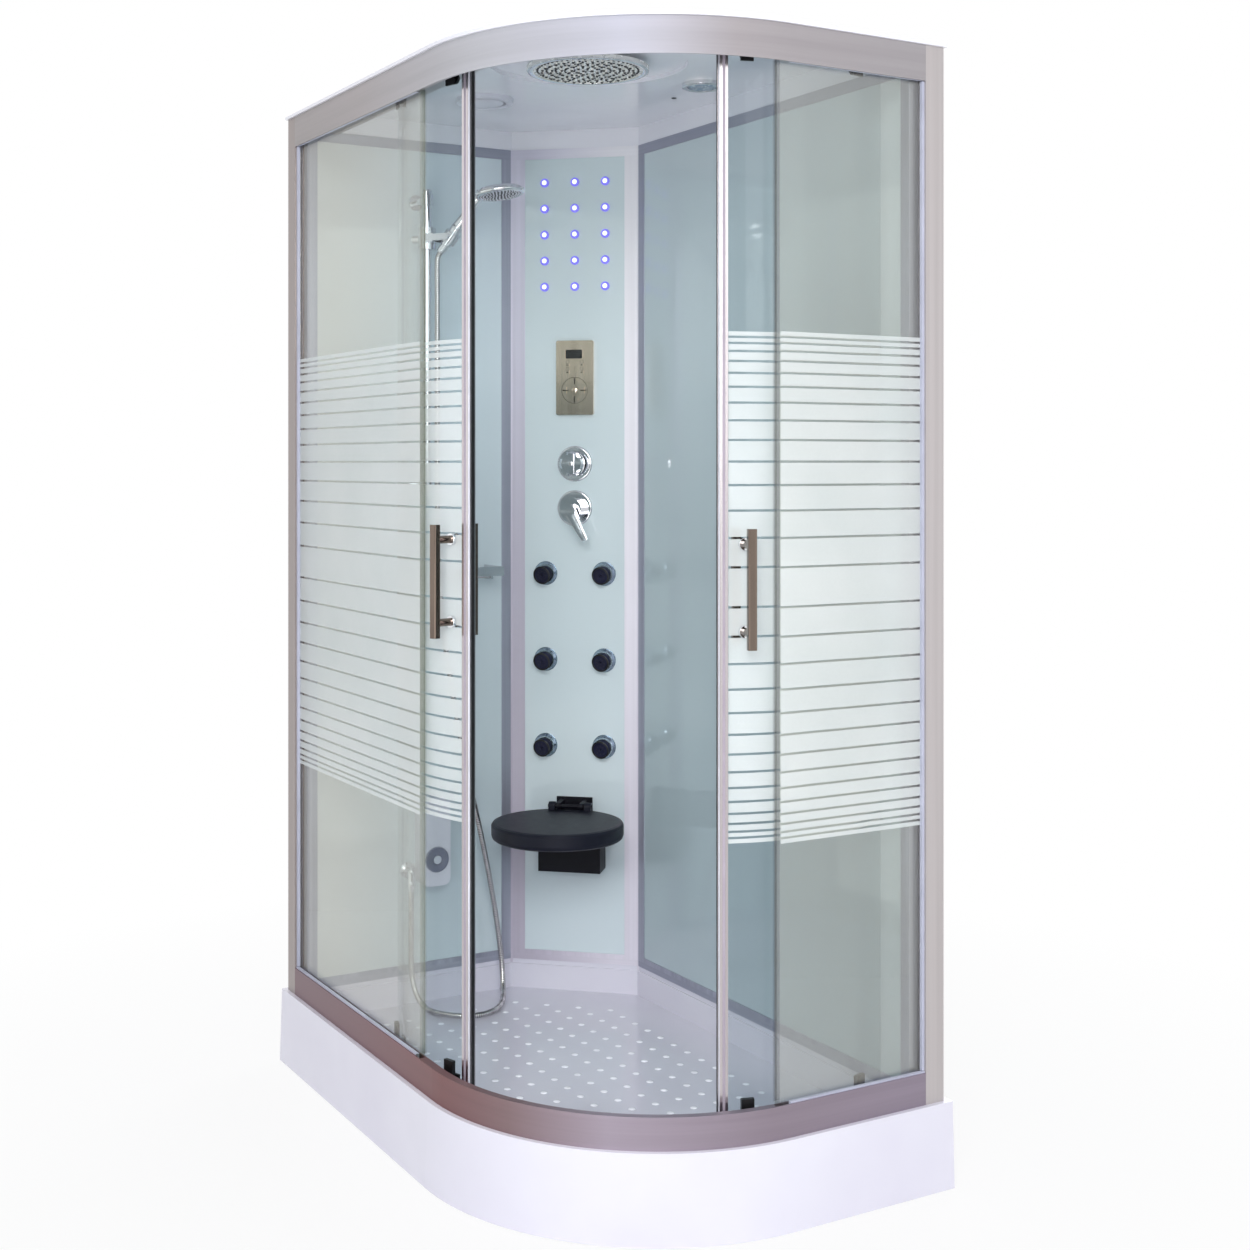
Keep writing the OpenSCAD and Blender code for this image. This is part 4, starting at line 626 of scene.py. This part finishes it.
GREY = plastic("grey_plastic", (0.60, 0.61, 0.63), (0.68, 0.69, 0.71), (0.36, 0.5))
SLATE = plastic("slate_plastic", (0.36, 0.385, 0.47), (0.41, 0.435, 0.53), (0.3, 0.42))
PALE_CORE = plastic("pale_plastic", (0.79, 0.81, 0.85), (0.84, 0.86, 0.90), (0.25, 0.36))
# Painted shade for the groove of the doors' leading strips.
GROOVE_PAINTED_SHADE = plastic("groove_painted_shade", (0.60, 0.56, 0.61), (0.66, 0.62, 0.67), (0.4, 0.5))
DARK_GREY = plastic("dark_grey_plastic", (0.25, 0.26, 0.28), (0.31, 0.32, 0.34), (0.36, 0.5))
NYLON = plastic("wheel_nylon", (0.86, 0.85, 0.82), (0.91, 0.90, 0.87), (0.3, 0.42))
RUBBER = plastic("nozzle_rubber", (0.13, 0.13, 0.15), (0.19, 0.19, 0.21), (0.45, 0.6))
SCREEN = plastic("screen_glass", (0.02, 0.022, 0.025), (0.045, 0.045, 0.05), (0.06, 0.1),
                 200, 0.00002, coat=0.6)
INK = plastic("key_ink", (0.25, 0.235, 0.20), (0.33, 0.31, 0.27), (0.3, 0.45))

NODE_LOOKS = {
    "tray": ACRYLIC, "roof": CEILING_PAINTED_LIGHT, "undertray_frame": STEEL,
    "waste_trap": WHITE_PLASTIC, "drain_cover": CHROME, "bottom_rail": LOW_RAIL,
    "top_rail": RAIL, "left_post": POST, "right_post": POST, "glazing_seals": SEAL,
    "left_fixed_glass": FIXED_GLASS, "right_fixed_glass": SIDE_PANE_GLASS,
    "side_wall_glass": SIDE_GLASS, "back_wall_glass": BACK_GLASS_PAINTED_SHADE,
    "column_glass": COLUMN_GLASS, "side_wall_frame": FRAME, "back_wall_frame": FRAME,
    "column_frame": COLUMN_FRAME, "rain_head": SPRAY, "fan_housing": WHITE_PLASTIC,
    "fan_cover": WHITE_PLASTIC, "fan_rotor": GREY, "light_bezel": CHROME_SATIN,
    "light_lens": LENS, "control_panel": GOLD, "valve_bodies": CHROME,
    "diverter_knob": CHROME, "mixer_cap": CHROME, "mixer_lever": CHROME,
    "jet_bodies": JET_METAL, "micro_jets": VIOLET, "plumbing": BRASS, "slide_bar": CHROME,
    "slider": CHROME_SATIN, "handset_holder": CHROME_SATIN, "handset": CHROME,
    "hose_outlet": CHROME, "shelf": CHROME_SATIN, "foot_unit": WHITE_PLASTIC,
    "seat_bracket": SEAT_BOX, "seat_board": SEAT_TOP,
}
for side in DOORS:
    NODE_LOOKS.update({
        f"{side}_door_glass": DOOR_GLASS, f"{side}_door_profile": STRIP,
        f"{side}_door_handle": HANDLE, f"{side}_door_hangers": BLACK,
        f"{side}_wheel_lead": NYLON, f"{side}_wheel_trail": NYLON,
    })
for k in range(1, len(JETS) + 1):
    NODE_LOOKS[f"jet_nozzle_{k}"] = JET_NAVY
for name, look in NODE_LOOKS.items():
    shade(NODES[name], look)


# Shower hose: the part's own route, as ribbed metal, in two stretches that share the moving
# end. The upper one starts at the place HOSE_SPLIT of the route, and it enters the hand
# shower along HOSE_END.
HOSE_R, RIB_DEPTH, HOSE_SIDES, HOSE_STEP, FINE = 6.0, 0.55, 14, 1.5, 40
ROUTE = [
    (-505, -140, 366), (-505, -140, 330), (-505, -140, 260), (-505, -140, 195),
    (-498, -138, 148), (-475, -133, 116), (-440, -125, 104), (-402, -108, 104),
    (-374, -79, 104), (-364, -42, 104), (-375, -6, 104), (-402, 23, 104), (-436, 46, 107),
    (-464, 60, 122), (-480, 66, 158), (-483, 62, 208), (-479, 50, 275), (-472, 30, 365),
    (-464, 5, 465), (-456, -28, 590), (-450, -62, 740), (-447, -88, 890),
    (-447, -101, 1040), (-447, -105, 1200), (-447, -105, 1400), (-447, -105, 1560),
    (-447, -105, 1640), (-447, -105, 1683), (-445, -104, 1700),
    (-438.088, -99.324, 1713.878),
]
HOSE_SPLIT = 25
HOSE_END = Vector((0.5329, 0.3594, 0.7660)).normalized()
DOWN, UP = Vector((0, 0, -1)), Vector((0, 0, 1))


def spline(p, k, t):
    """Point on a smooth curve through the places p, a share t of the way from p[k] on."""
    a, b, c, d = p[max(k - 1, 0)], p[k], p[k + 1], p[min(k + 2, len(p) - 1)]
    square, cube = 2 * a - 5 * b + 4 * c - d, 3 * b - a - 3 * c + d
    return 0.5 * (2 * b + (c - a) * t + square * t * t + cube * t * t * t)


def hose_line(first, last):
    """Even points about HOSE_STEP apart between two places of the route, and their length."""
    p = [Vector(q) for q in ROUTE]
    fine = [spline(p, k, i / FINE) for k in range(first, last) for i in range(FINE)]
    fine.append(p[last])
    total = sum((b - a).length for a, b in zip(fine, fine[1:]))
    count = round(total / HOSE_STEP)
    out, reach, at = [fine[0]], total / count, 0.0
    for a, b in zip(fine, fine[1:]):
        step = (b - a).length
        while len(out) < count and at + step >= reach * len(out) - 1e-9:
            out.append(a + (b - a) * ((reach * len(out) - at) / step))
        at += step
    return out + [fine[-1]], total


def hose_tube(name, first, last, start, end):
    """A stretch of the hose, with its path and its length in metres."""
    line, total = hose_line(first, last)
    final = len(line) - 1
    tangents = [(line[min(k + 1, final)] - line[max(k - 1, 0)]).normalized()
                for k in range(len(line))]
    tangents[0], tangents[-1] = start, end
    side = start.cross(Vector((0, 1, 0))).normalized()
    verts, faces, uvs, run = [], [], [], 0.0
    for k, (p, t) in enumerate(zip(line, tangents)):
        side = (side - t * side.dot(t)).normalized()
        other = t.cross(side)
        run += (p - line[k - 1]).length if k else 0
        r = HOSE_R - RIB_DEPTH if k % 3 == 1 and 0 < k < final else HOSE_R
        for i in range(HOSE_SIDES):
            a = 2 * math.pi * i / HOSE_SIDES
            verts.append((p + (side * math.cos(a) + other * math.sin(a)) * r) * MM)
            uvs.append((i / HOSE_SIDES, run * MM))
    for k in range(final):
        faces += band(HOSE_SIDES, k * HOSE_SIDES, (k + 1) * HOSE_SIDES)
    faces += [tuple(range(HOSE_SIDES - 1, -1, -1)),
              tuple(range(final * HOSE_SIDES, (final + 1) * HOSE_SIDES))]
    obj = shade(new_mesh(name, verts, faces, uvs), HOSE)
    return obj, [p * MM for p in line], total * MM


lower, lower_path, lower_length = hose_tube("hose_lower", 0, HOSE_SPLIT, DOWN, UP)
upper, upper_path, upper_length = hose_tube("hose_upper", HOSE_SPLIT, len(ROUTE) - 1, UP,
                                            HOSE_END)
for piece in (lower, upper):
    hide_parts("hose")
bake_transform(lower)
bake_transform(upper)

# Nuts at the two ends of the hose
wall_nut = lathe([(0, 0), (8.2, 0), (8.6, 1), (8.6, 13), (8.2, 14), (6.6, 15), (6.4, 22),
                  (0, 22)], 40)
dress("hose_nut_wall", wall_nut, [towards(ROUTE[0], DOWN)], CHROME, "cabin", crisp=True)
end_nut = lathe([(0, 0), (7.2, 0), (8.2, 0.8), (8.3, 4.2), (7.6, 5.0), (0, 5.0)], 40)
dress("hose_nut_handset", end_nut, [towards(Vector(ROUTE[-1]) - HOSE_END * 5, HOSE_END)],
      CHROME, "hand_shower", crisp=True)

# Frosted bands on the four front panes, each way from STRIPE_Z, with clear lines between
# them that close up towards the ends
STRIPE_Z, CLEAR = 1057.0, 4.0
FIRST_LINE, FIRST_PITCH, PITCH_DROP, LINES, LAST_BAND = 33.0, 48.5, 3.2, 13, 9.0
FILM_OUT, FILM_STEP = 0.2, 4
edges = [FIRST_LINE]
for k in range(LINES):
    edges.append(edges[-1] + FIRST_PITCH - PITCH_DROP * k)
edges.append(edges[-1] + LAST_BAND)
bands = [(-FIRST_LINE + CLEAR / 2, FIRST_LINE - CLEAR / 2)]
for a, b in zip(edges, edges[1:]):
    top = b - (CLEAR / 2 if b != edges[-1] else 0)
    bands += [(a + CLEAR / 2, top), (-top, -a - CLEAR / 2)]


def pane_line(node, outward, keep):
    """Outer line of a pane in plan and its normals, in mm, cut back at its two ends."""
    out = Vector(outward)
    along = Vector((-out.y, out.x))
    me = NODES[node].data
    seen = {}
    for poly in me.polygons:
        level = Vector(poly.normal[:2])
        if abs(poly.normal.z) < 0.1 and level.normalized().dot(out) > 0.6:
            for i in poly.vertices:
                p = Vector(me.vertices[i].co[:2]) * METRE
                seen[round(p.dot(along) / 3)] = p
    pts = sorted(seen.values(), key=lambda p: p.dot(along))
    trim = [pts[0]]
    for p in pts[1:-1]:
        if min((p - trim[-1]).length, (p - pts[-1]).length) > FILM_STEP:
            trim.append(p)
    trim.append(pts[-1])
    for end, second, cut in ((0, 1, keep[0]), (-1, -2, keep[1])):
        while len(trim) > 2 and (trim[second] - trim[end]).length <= cut:
            cut -= (trim[second] - trim[end]).length
            trim.pop(end)
        trim[end] = trim[end] + (trim[second] - trim[end]).normalized() * cut
    normals = []
    for k in range(len(trim)):
        t = (trim[min(k + 1, len(trim) - 1)] - trim[max(k - 1, 0)]).normalized()
        n = Vector((t.y, -t.x))
        normals.append(n if n.dot(out) > 0 else -n)
    return trim, normals


def film(name, node, outward, body, keep):
    """Bands that lie just outside a pane."""
    pts, normals = pane_line(node, outward, keep)
    verts, faces = [], []
    for low, high in bands:
        base = len(verts)
        for p, n in zip(pts, normals):
            q = p + n * FILM_OUT
            verts += [Vector((q.x, q.y, STRIPE_Z + z)) * MM for z in (low, high)]
        for k in range(len(pts) - 1):
            a = base + 2 * k
            faces.append((a, a + 2, a + 3, a + 1))
    obj = shade(new_mesh(name, verts, faces), FILM)
    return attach(obj, body)


film("left_fixed_film", "left_fixed_glass", (0, -1), "cabin", (10, 8))
film("right_fixed_film", "right_fixed_glass", (1, 0), "cabin", (8, 10))
film("left_door_film", "left_door_glass", (0.2903, -0.9569), "left_door", (2, 10))
film("right_door_film", "right_door_glass", (0.9519, -0.3065), "right_door", (10, 2))


# Black magnet strip, clear lip and painted groove shade on the leading edge of each door
def door_strip(name, side, section, look):
    """Upright strip on a door's leading edge, its section given as (out, along) in mm."""
    n = len(section)
    verts = [door_point(side, EDGE_BACK, o, a, z) * MM for z in strip_ends for o, a in section]
    faces = [tuple(range(n)), tuple(range(2 * n - 1, n - 1, -1))] + band(n, 0, n)
    obj = shade(sharp(new_mesh(name, verts, faces)), look)
    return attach(obj, f"{side}_door")


low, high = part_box("left_door_profile")
strip_ends = (low.z * METRE + 0.3, high.z * METRE - 0.3)
MAGNET = [(-5.3, 0.1), (5.3, 0.1), (5.3, 2.2), (4.4, 3.1), (-4.4, 3.1), (-5.3, 2.2)]
LIP = [(5.5, 0.1), (9.4, 0.1), (9.6, 0.6), (9.0, 1.6), (6.2, 1.9), (5.5, 1.4)]
# The groove holds a thin sheet of painted shade.
GROOVE_SHADE = [(10.05, -9.4), (10.25, -9.3), (10.25, -4.9), (10.05, -4.8)]
for side in DOORS:
    door_strip(f"{side}_door_magnet", side, MAGNET, BLACK_SEAL)
    door_strip(f"{side}_door_lip", side, LIP, CLEAR_LIP)
    door_strip(f"{side}_door_groove_shade", side, GROOVE_SHADE, GROOVE_PAINTED_SHADE)

# Chrome rosettes over the feet of the handles' pillars
rosette = lathe([(7.15, 6.05), (7.15, 6.7), (10.2, 6.7), (10.7, 6.2), (10.7, 0.15),
                 (10.05, 0.15), (10.05, 6.05)], 40, True)
for side in DOORS:
    spots = []
    for z in (HANDLE_Z - HANDLE_PITCH / 2, HANDLE_Z + HANDLE_PITCH / 2):
        foot = door_point(side, HANDLE_BACK, 0, 0, z)
        outward = (door_point(side, HANDLE_BACK, 1, 0, z) - foot).normalized()
        for way in (outward, -outward):
            spots.append(towards(foot + way * ROSETTE_OUT, way))
    dress(f"{side}_handle_rosettes", rosette, spots, CHROME, f"{side}_door", crisp=True)

# Raised grip dots on the basin floor, clear of its walls, the drain and the hose
DOT_PITCH, DOT_START = 50, (-122, -31)
WALL_ROOM, COLUMN_ROOM, DRAIN_ROOM, HOSE_ROOM = 62, 105, 70, 22
FRONT_ROOM, CORNER_R = 330, 335
floor_hose = [Vector(p[:2]) for p in ROUTE if p[2] < 135]


def has_room(x, y):
    right, front = x - ARC.x, ARC.y - y
    if x < SIDE_X + WALL_ROOM or y > BACK_Y - WALL_ROOM:
        return False
    if Vector((x - COL.x, y - COL.y, 0)).dot(COL_OUT) < COLUMN_ROOM:
        return False
    if max(right, front) > FRONT_ROOM:
        return False
    if min(right, front) > 0 and math.hypot(right, front) > CORNER_R:
        return False
    if math.hypot(x - DRAIN[0], y - DRAIN[1]) < DRAIN_ROOM:
        return False
    return min((Vector((x, y)) - p).length for p in floor_hose) >= HOSE_ROOM


dot = lathe([(7.0, 0.0), (6.8, 0.5), (5.6, 1.4), (3.2, 2.0), (0, 2.2)], 20)
grid = [(DOT_START[0] + DOT_PITCH * i, DOT_START[1] + DOT_PITCH * j)
        for i in range(-20, 21) for j in range(-20, 21)]
dots = dress("basin_dots", dot, [move(x, y, FLOOR_Z) for x, y in grid if has_room(x, y)],
             DOTS_PAINTED_HIGHLIGHT, "cabin")


# Nozzles of the rain head: soft tips on the part's own nozzles and between them
def rain_place(ring, angle, z):
    reach = NOZZLE_PITCH * ring
    return move(RAIN[0] + reach * math.cos(angle), RAIN[1] + reach * math.sin(angle), z)


tip = lathe([(2.7, 0.0), (2.5, -1.2), (1.8, -2.2), (1.5, -2.4), (0, -2.1)], 12)
small_tip = lathe([(2.4, 0.0), (2.2, -1.0), (1.5, -1.8), (0, -1.7)], 10)
spots, small_spots = [], []
for ring in range(1, 6):
    for k in range(6 * ring):
        spots.append(rain_place(ring, math.radians(k * 60 / ring), HEAD_Z - 1.4))
for ring, count in ((0.5, 5), (1.5, 14), (2.5, 24), (3.5, 34), (4.5, 44), (5.5, 54)):
    for k in range(count):
        angle = 2 * math.pi * (k + 0.5 * (count % 4)) / count
        small_spots.append(rain_place(ring, angle, HEAD_Z + 2.2))
dress("rain_tips", tip, spots, RUBBER, "cabin")
dress("rain_small_tips", small_tip, small_spots, RUBBER, "cabin")
bead = lathe([(101, 0.4), (103, -0.9), (108, -1.2), (112, -0.4), (113.2, 1.4), (112.6, 3),
              (101.5, 2.5)], 96, True)
dress("rain_rim", bead, [move(*RAIN, HEAD_Z)], CHROME, "cabin")

# Trim of the fan cover and the lamp, and a small dark cap in the ceiling beside the lamp
verts, faces = [], []
for r in (44, 50, 56):
    ring = lathe([(r - 1.1, 0.2), (r - 0.6, -0.5), (r + 0.6, -0.5), (r + 1.1, 0.2)], 72, True)
    faces += [tuple(i + len(verts) for i in q) for q in ring[1]]
    verts += ring[0]
dress("fan_cover_rings", (verts, faces), [move(*FAN, FAN_Z)], WHITE_PLASTIC, "cabin")
dish = lathe([(38, 0.2), (36, -1.4), (24, -2.6), (10, -3.2), (0, -3.3)], 72)
dress("fan_cover_dish", dish, [move(*FAN, FAN_Z)], WHITE_PLASTIC, "cabin")
halo = lathe([(30.5, 1.5), (31.2, -0.8), (34, -1.9), (38, -1.6), (41.1, 0.4), (41.1, 2),
              (31, 2)], 72, True)
dress("lamp_ring", halo, [move(*LAMP, LAMP_Z)], CHROME_SATIN, "cabin")
cap = lathe([(5.5, 0.3), (5.3, -0.8), (4.2, -1.5), (0, -1.8)], 28)
dress("ceiling_cap", cap, [move(-46, 234.5, CEILING)], DARK_GREY, "cabin")


# Control panel: its window, the marks of its keys and the ring of the four-way pad
def on_panel(x, y, out, degrees=0.0):
    return column_place(PANEL[0] + x, PANEL[1] + y, out) @ turn(degrees, "Z")


WINDOW, PAD_Y, PAD_R = (-2, 52), -28, 20
KEYS = [(x, y) for x in (-16, 16) for y in (12, 28)]
FACE_OUT, MARK_OUT = 10.0, 11.02
pane = slab(rounded(37.4, 19.4, 1.8), 0, 0.9, 0.3)
dress("panel_window", pane, [on_panel(*WINDOW, 8.95)], SCREEN, "cabin", crisp=True)
outer, inner = rounded(41.4, 23.4, 2.8), rounded(37.8, 19.8, 1.9)
rows = ((outer, 0), (outer, 0.35), (inner, 0.35), (inner, 0))
window_rim = ([(x, y, z) for pts, z in rows for x, y in pts],
              [face for r in range(3)
               for face in band(len(outer), r * len(outer), (r + 1) * len(outer))])
dress("panel_window_rim", window_rim, [on_panel(*WINDOW, FACE_OUT)], GOLD, "cabin", crisp=True)
dress("panel_key_marks", slab(rounded(5.5, 2.2, 0.9, 3), 0, 0.25),
      [on_panel(x, y, MARK_OUT) for x, y in KEYS], INK, "cabin")
dress("panel_key_rings", lathe([(3.4, 0), (3.4, 0.3), (4.1, 0.3), (4.1, 0)], 28, True),
      [on_panel(x, y + 7.4, FACE_OUT) for x, y in KEYS], INK, "cabin")
arrows = [on_panel(PAD_R * math.sin(math.radians(a)), PAD_Y + PAD_R * math.cos(math.radians(a)),
                   MARK_OUT, -a + 90) for a in (0, 90, 180, 270)]
dress("panel_pad_marks", slab(rounded(14, 2.6, 1.0, 3), 0, 0.25), arrows, INK, "cabin")
dress("panel_pad_ring", lathe([(28.4, 0), (28.4, 0.35), (29.3, 0.35), (29.3, 0)], 64, True),
      [on_panel(0, PAD_Y, FACE_OUT)], INK, "cabin")
dress("panel_pad_hub", lathe([(7.4, 0), (7.2, 1.2), (6.2, 1.9), (0, 2.2)], 40),
      [on_panel(0, PAD_Y, 10.4)], GOLD, "cabin")

# Small jets: a bright drop in each violet ring
drop = lathe([(5.2, 0), (4.8, 1.1), (3.2, 1.9), (0, 2.3)], 24)
dress("micro_jet_lights", drop, [column_place(s, z, 5.4) for s, z in MICROS], LED, "cabin")
collar = lathe([(7.6, 3.4), (8.3, 4.5), (9.4, 3.4), (9.9, 1.6), (9.9, 0), (8.6, 0)], 32, True)
dress("micro_jet_rings", collar, [column_place(s, z) for s, z in MICROS], VIOLET, "cabin")

# Body jets: a thin washer round each housing, and on each ball a disc with a black rim and
# a ring of studs
washer = lathe([(25.1, 0.0), (26.3, 0.0), (26.5, 0.4), (26.2, 1.0), (25.1, 1.2)], 48, True)
dress("jet_washers", washer, [column_place(s, z) for s, z in JETS], JET_METAL, "cabin")
disc = lathe([(2.6, 13.05), (10.8, 13.05), (15.5, 15.9), (16.6, 16.6), (16.6, 18.2),
              (15.4, 18.5), (11.5, 17.2), (7.6, 16.8), (6.2, 17.5), (4.4, 17.6), (2.6, 16.8)],
             48, True)
edge = lathe([(16.7, 16.3), (18.6, 16.5), (20.0, 17.1), (20.2, 18.4), (19.4, 19.6),
              (17.9, 19.9), (16.9, 19.3), (16.7, 18.2)], 56, True)
stud = lathe([(0.95, 0), (0.9, 0.9), (0, 1.1)], 10)
aim = turn(JET_TURN, "X") @ turn(-JET_TURN, "Y")
for k, (s, z) in enumerate(JETS, 1):
    ball = column_place(s, z, JET_OUT) @ aim
    dress(f"jet_disc_{k}", disc, [ball], JET_NAVY, f"nozzle_{k}")
    dress(f"jet_rim_{k}", edge, [ball], BLACK, f"nozzle_{k}")
    studs = [ball @ turn(45 * i, "Z") @ move(9.4, 0, 16.9) for i in range(8)]
    dress(f"jet_studs_{k}", stud, studs, BLACK, f"nozzle_{k}")

# Mixer and diverter: the rims of their wall plates, and a button on the diverter's knob
rim = lathe([(35.5, 3.9), (38.4, 2.6), (39.4, 1.2), (39.4, 0), (35, 0), (34.2, 3.4)], 72, True)
dress("valve_plate_rims", rim,
      [column_place(COL_MID, DIVERTER_Z), column_place(COL_MID, MIXER_Z)], CHROME, "cabin")
button = lathe([(0, 25.6), (4.2, 25.5), (5.2, 25.0), (5.4, 24.4)], 32)
dress("diverter_button", button, [column_place(COL_MID, DIVERTER_Z, 18.3)], CHROME_SATIN,
      "diverter")

# Hand shower: spray plate with its rings of nubs, a trim ring, and a grip collar
holder = move(BAR_X, BAR_Y, HOLDER_Z) @ turn(HOLDER_TURN, "Z")
head = holder @ move(127.42, 0, 82.73) @ turn(-8, "Y") @ move(49.5, 0, 0)
plate = lathe([(0, -8.3), (20, -8.6), (34, -8.5), (42.5, -8.0), (43.3, -7.4)], 64)
dress("handset_plate", plate, [head], DARK_GREY, "hand_shower")
nub = lathe([(1.7, -8.2), (1.5, -9.6), (0.9, -10.1), (0, -9.9)], 10)
spots = []
for r, count in ((7, 6), (14, 12), (21, 18), (28, 24), (35, 30), (40.5, 34)):
    for k in range(count):
        a = 2 * math.pi * k / count
        spots.append(head @ move(r * math.cos(a), r * math.sin(a), 0))
dress("handset_nubs", nub, spots, WHITE_PLASTIC, "hand_shower")
trim = lathe([(43.5, -9.0), (45, -10.1), (48.5, -10.2), (51.5, -8.2), (52.8, -5.2), (52.8, -2),
              (51, -1), (44, -7)], 80, True)
dress("handset_rim", trim, [head], CHROME, "hand_shower")
grip = lathe([(11.2, 22), (12.4, 24), (12.6, 27), (11.6, 30), (10.9, 31)], 40)
dress("handset_collar", grip, [holder @ move(58, 0, 0) @ turn(40, "Y")], CHROME_SATIN,
      "hand_shower")

# Foot unit's ring and core, wall plate of the hose outlet, and caps of the slide bar
sideways = turn(90, "Y")
foot = move(*FOOT_UNIT) @ sideways
ring = lathe([(8.9, 2.6), (9.6, 3.6), (24, 3.6), (26.6, 3.0), (27.6, 1.6), (27.6, 0), (9, 0)],
             64, True)
dress("foot_ring", ring, [foot], SLATE, "cabin")
core = lathe([(8.8, 2.0), (8.6, 4.3), (7.4, 5.0), (3.0, 4.7), (0, 4.6)], 40)
dress("foot_core", core, [foot], PALE_CORE, "cabin")
rose = lathe([(17.4, 0), (17.4, 2.8), (15.5, 4.6), (10.5, 5.6), (9.4, 7.2), (8.2, 7.4)], 56)
dress("outlet_rose", rose, [move(SIDE_X, OUTLET_Y, OUTLET_Z) @ sideways], CHROME, "cabin")
cap = lathe([(10.2, -2.2), (10.2, -0.6), (8.6, 0.9), (4, 1.5), (0, 1.6)], 40)
dress("slide_bar_caps", cap,
      [move(BAR_X, BAR_Y, BAR_TOP), move(BAR_X, BAR_Y, BAR_LOW) @ turn(180, "X")], CHROME,
      "cabin")


# Upright trims that close the two corners of the column, behind the ends of the frames
TRIM_PROUD, TRIM_DEEP = 0.5, 15


def corner_trim(name, first, first_back, second, second_back):
    """Wedge between two frame ends, given their inner corners and what lies behind them."""
    ring = [first - first_back * TRIM_PROUD, second - second_back * TRIM_PROUD,
            second + second_back * TRIM_DEEP, first + first_back * TRIM_DEEP]
    verts = [Vector((p.x, p.y, z)) * MM for z in (WALL_Z, WALL_TOP) for p in ring]
    faces = [(3, 2, 1, 0), (4, 5, 6, 7)] + band(4, 0, 4)
    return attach(shade(sharp(new_mesh(name, verts, faces)), COLUMN_FRAME), "cabin")


inset = COL_GAP - 0.1
col_end = COL + COL_SPAN
corner_trim("corner_trim_side", COL - Vector((0, inset, 0)), Vector((-1, 0, 0)),
            COL + COL_U * inset, -COL_OUT)
corner_trim("corner_trim_back", col_end - COL_U * inset, -COL_OUT,
            col_end + Vector((inset, 0, 0)), Vector((0, 1, 0)))


# Floor, world and lamps
def seen(nodes, links):
    """1 for rays from the camera, from mirrors and through glass, or else 0."""
    rays = nodes.new("ShaderNodeLightPath").outputs
    share = rays["Is Camera Ray"]
    for kind in ("Is Glossy Ray", "Is Transmission Ray"):
        node = nodes.new("ShaderNodeMath")
        node.operation = "MAXIMUM"
        links.new(share, node.inputs[0])
        links.new(rays[kind], node.inputs[1])
        share = node.outputs[0]
    return share


bpy.ops.mesh.primitive_plane_add(size=60, location=(0, 0, -0.0005))
floor = bpy.context.object
floor.name = "floor"
ground = Look("floor_paint")
ground.nodes.remove(ground.bsdf)
matte = ground.add("ShaderNodeBsdfDiffuse", {"Color": (0.80, 0.80, 0.81, 1)})
glow = ground.add("ShaderNodeEmission", {"Color": WHITE})
reach = ground.add("ShaderNodeVectorMath", operation="LENGTH")
ground.links.new(ground.coord.outputs["Object"], reach.inputs[0])
share = ground.add("ShaderNodeMath", operation="MULTIPLY")
ground.links.new(seen(ground.nodes, ground.links), share.inputs[0])
ground.links.new(ground.span(reach.outputs["Value"], 0.86, 1.0, 0.6, 1.9), share.inputs[1])
ground.mix_shader(share.outputs[0], matte, glow)
shade(floor, ground)

world = bpy.data.worlds.new("studio")
scene.world = world
world.use_nodes = True
nodes, links = world.node_tree.nodes, world.node_tree.links
nodes.clear()
sky, white = nodes.new("ShaderNodeBackground"), nodes.new("ShaderNodeBackground")
sky.inputs["Color"].default_value = (0.93, 0.955, 1.0, 1)
sky.inputs["Strength"].default_value = 0.66
white.inputs["Color"].default_value = WHITE
white.inputs["Strength"].default_value = 1.0
pick = nodes.new("ShaderNodeMixShader")
for k, socket in enumerate((seen(nodes, links), sky.outputs[0], white.outputs[0])):
    links.new(socket, pick.inputs[k])
links.new(pick.outputs[0], nodes.new("ShaderNodeOutputWorld").inputs["Surface"])


def softbox(name, at, target, size, power, spread=180):
    data = bpy.data.lights.new(name, "AREA")
    data.shape = "SQUARE"
    data.size, data.energy, data.spread = size, power, math.radians(spread)
    lamp = bpy.data.objects.new(name, data)
    scene.collection.objects.link(lamp)
    lamp.location = at
    lamp.rotation_euler = (Vector(target) - Vector(at)).to_track_quat("-Z", "Y").to_euler()


softbox("key_light", (4.0, -2.3, 2.5), (0, 0, 1.0), 2.6, 94)
softbox("fill_light", (-1.4, -4.2, 1.8), (0, 0, 1.0), 2.4, 4.5)
softbox("side_light", (4.4, 1.2, 1.6), (0, 0, 0.9), 2.4, 18)
softbox("back_light", (-2.5, 4.0, 3.2), (0, 0, 1.0), 2.6, 60)
softbox("cove_light", (2.0, -1.9, 0.55), (-0.2, 0.1, 1.95), 0.9, 1.7, spread=60)
softbox("basin_light", (2.0, -1.5, 1.9), (-0.35, 0.15, 0.1), 0.9, 1.8, spread=50)
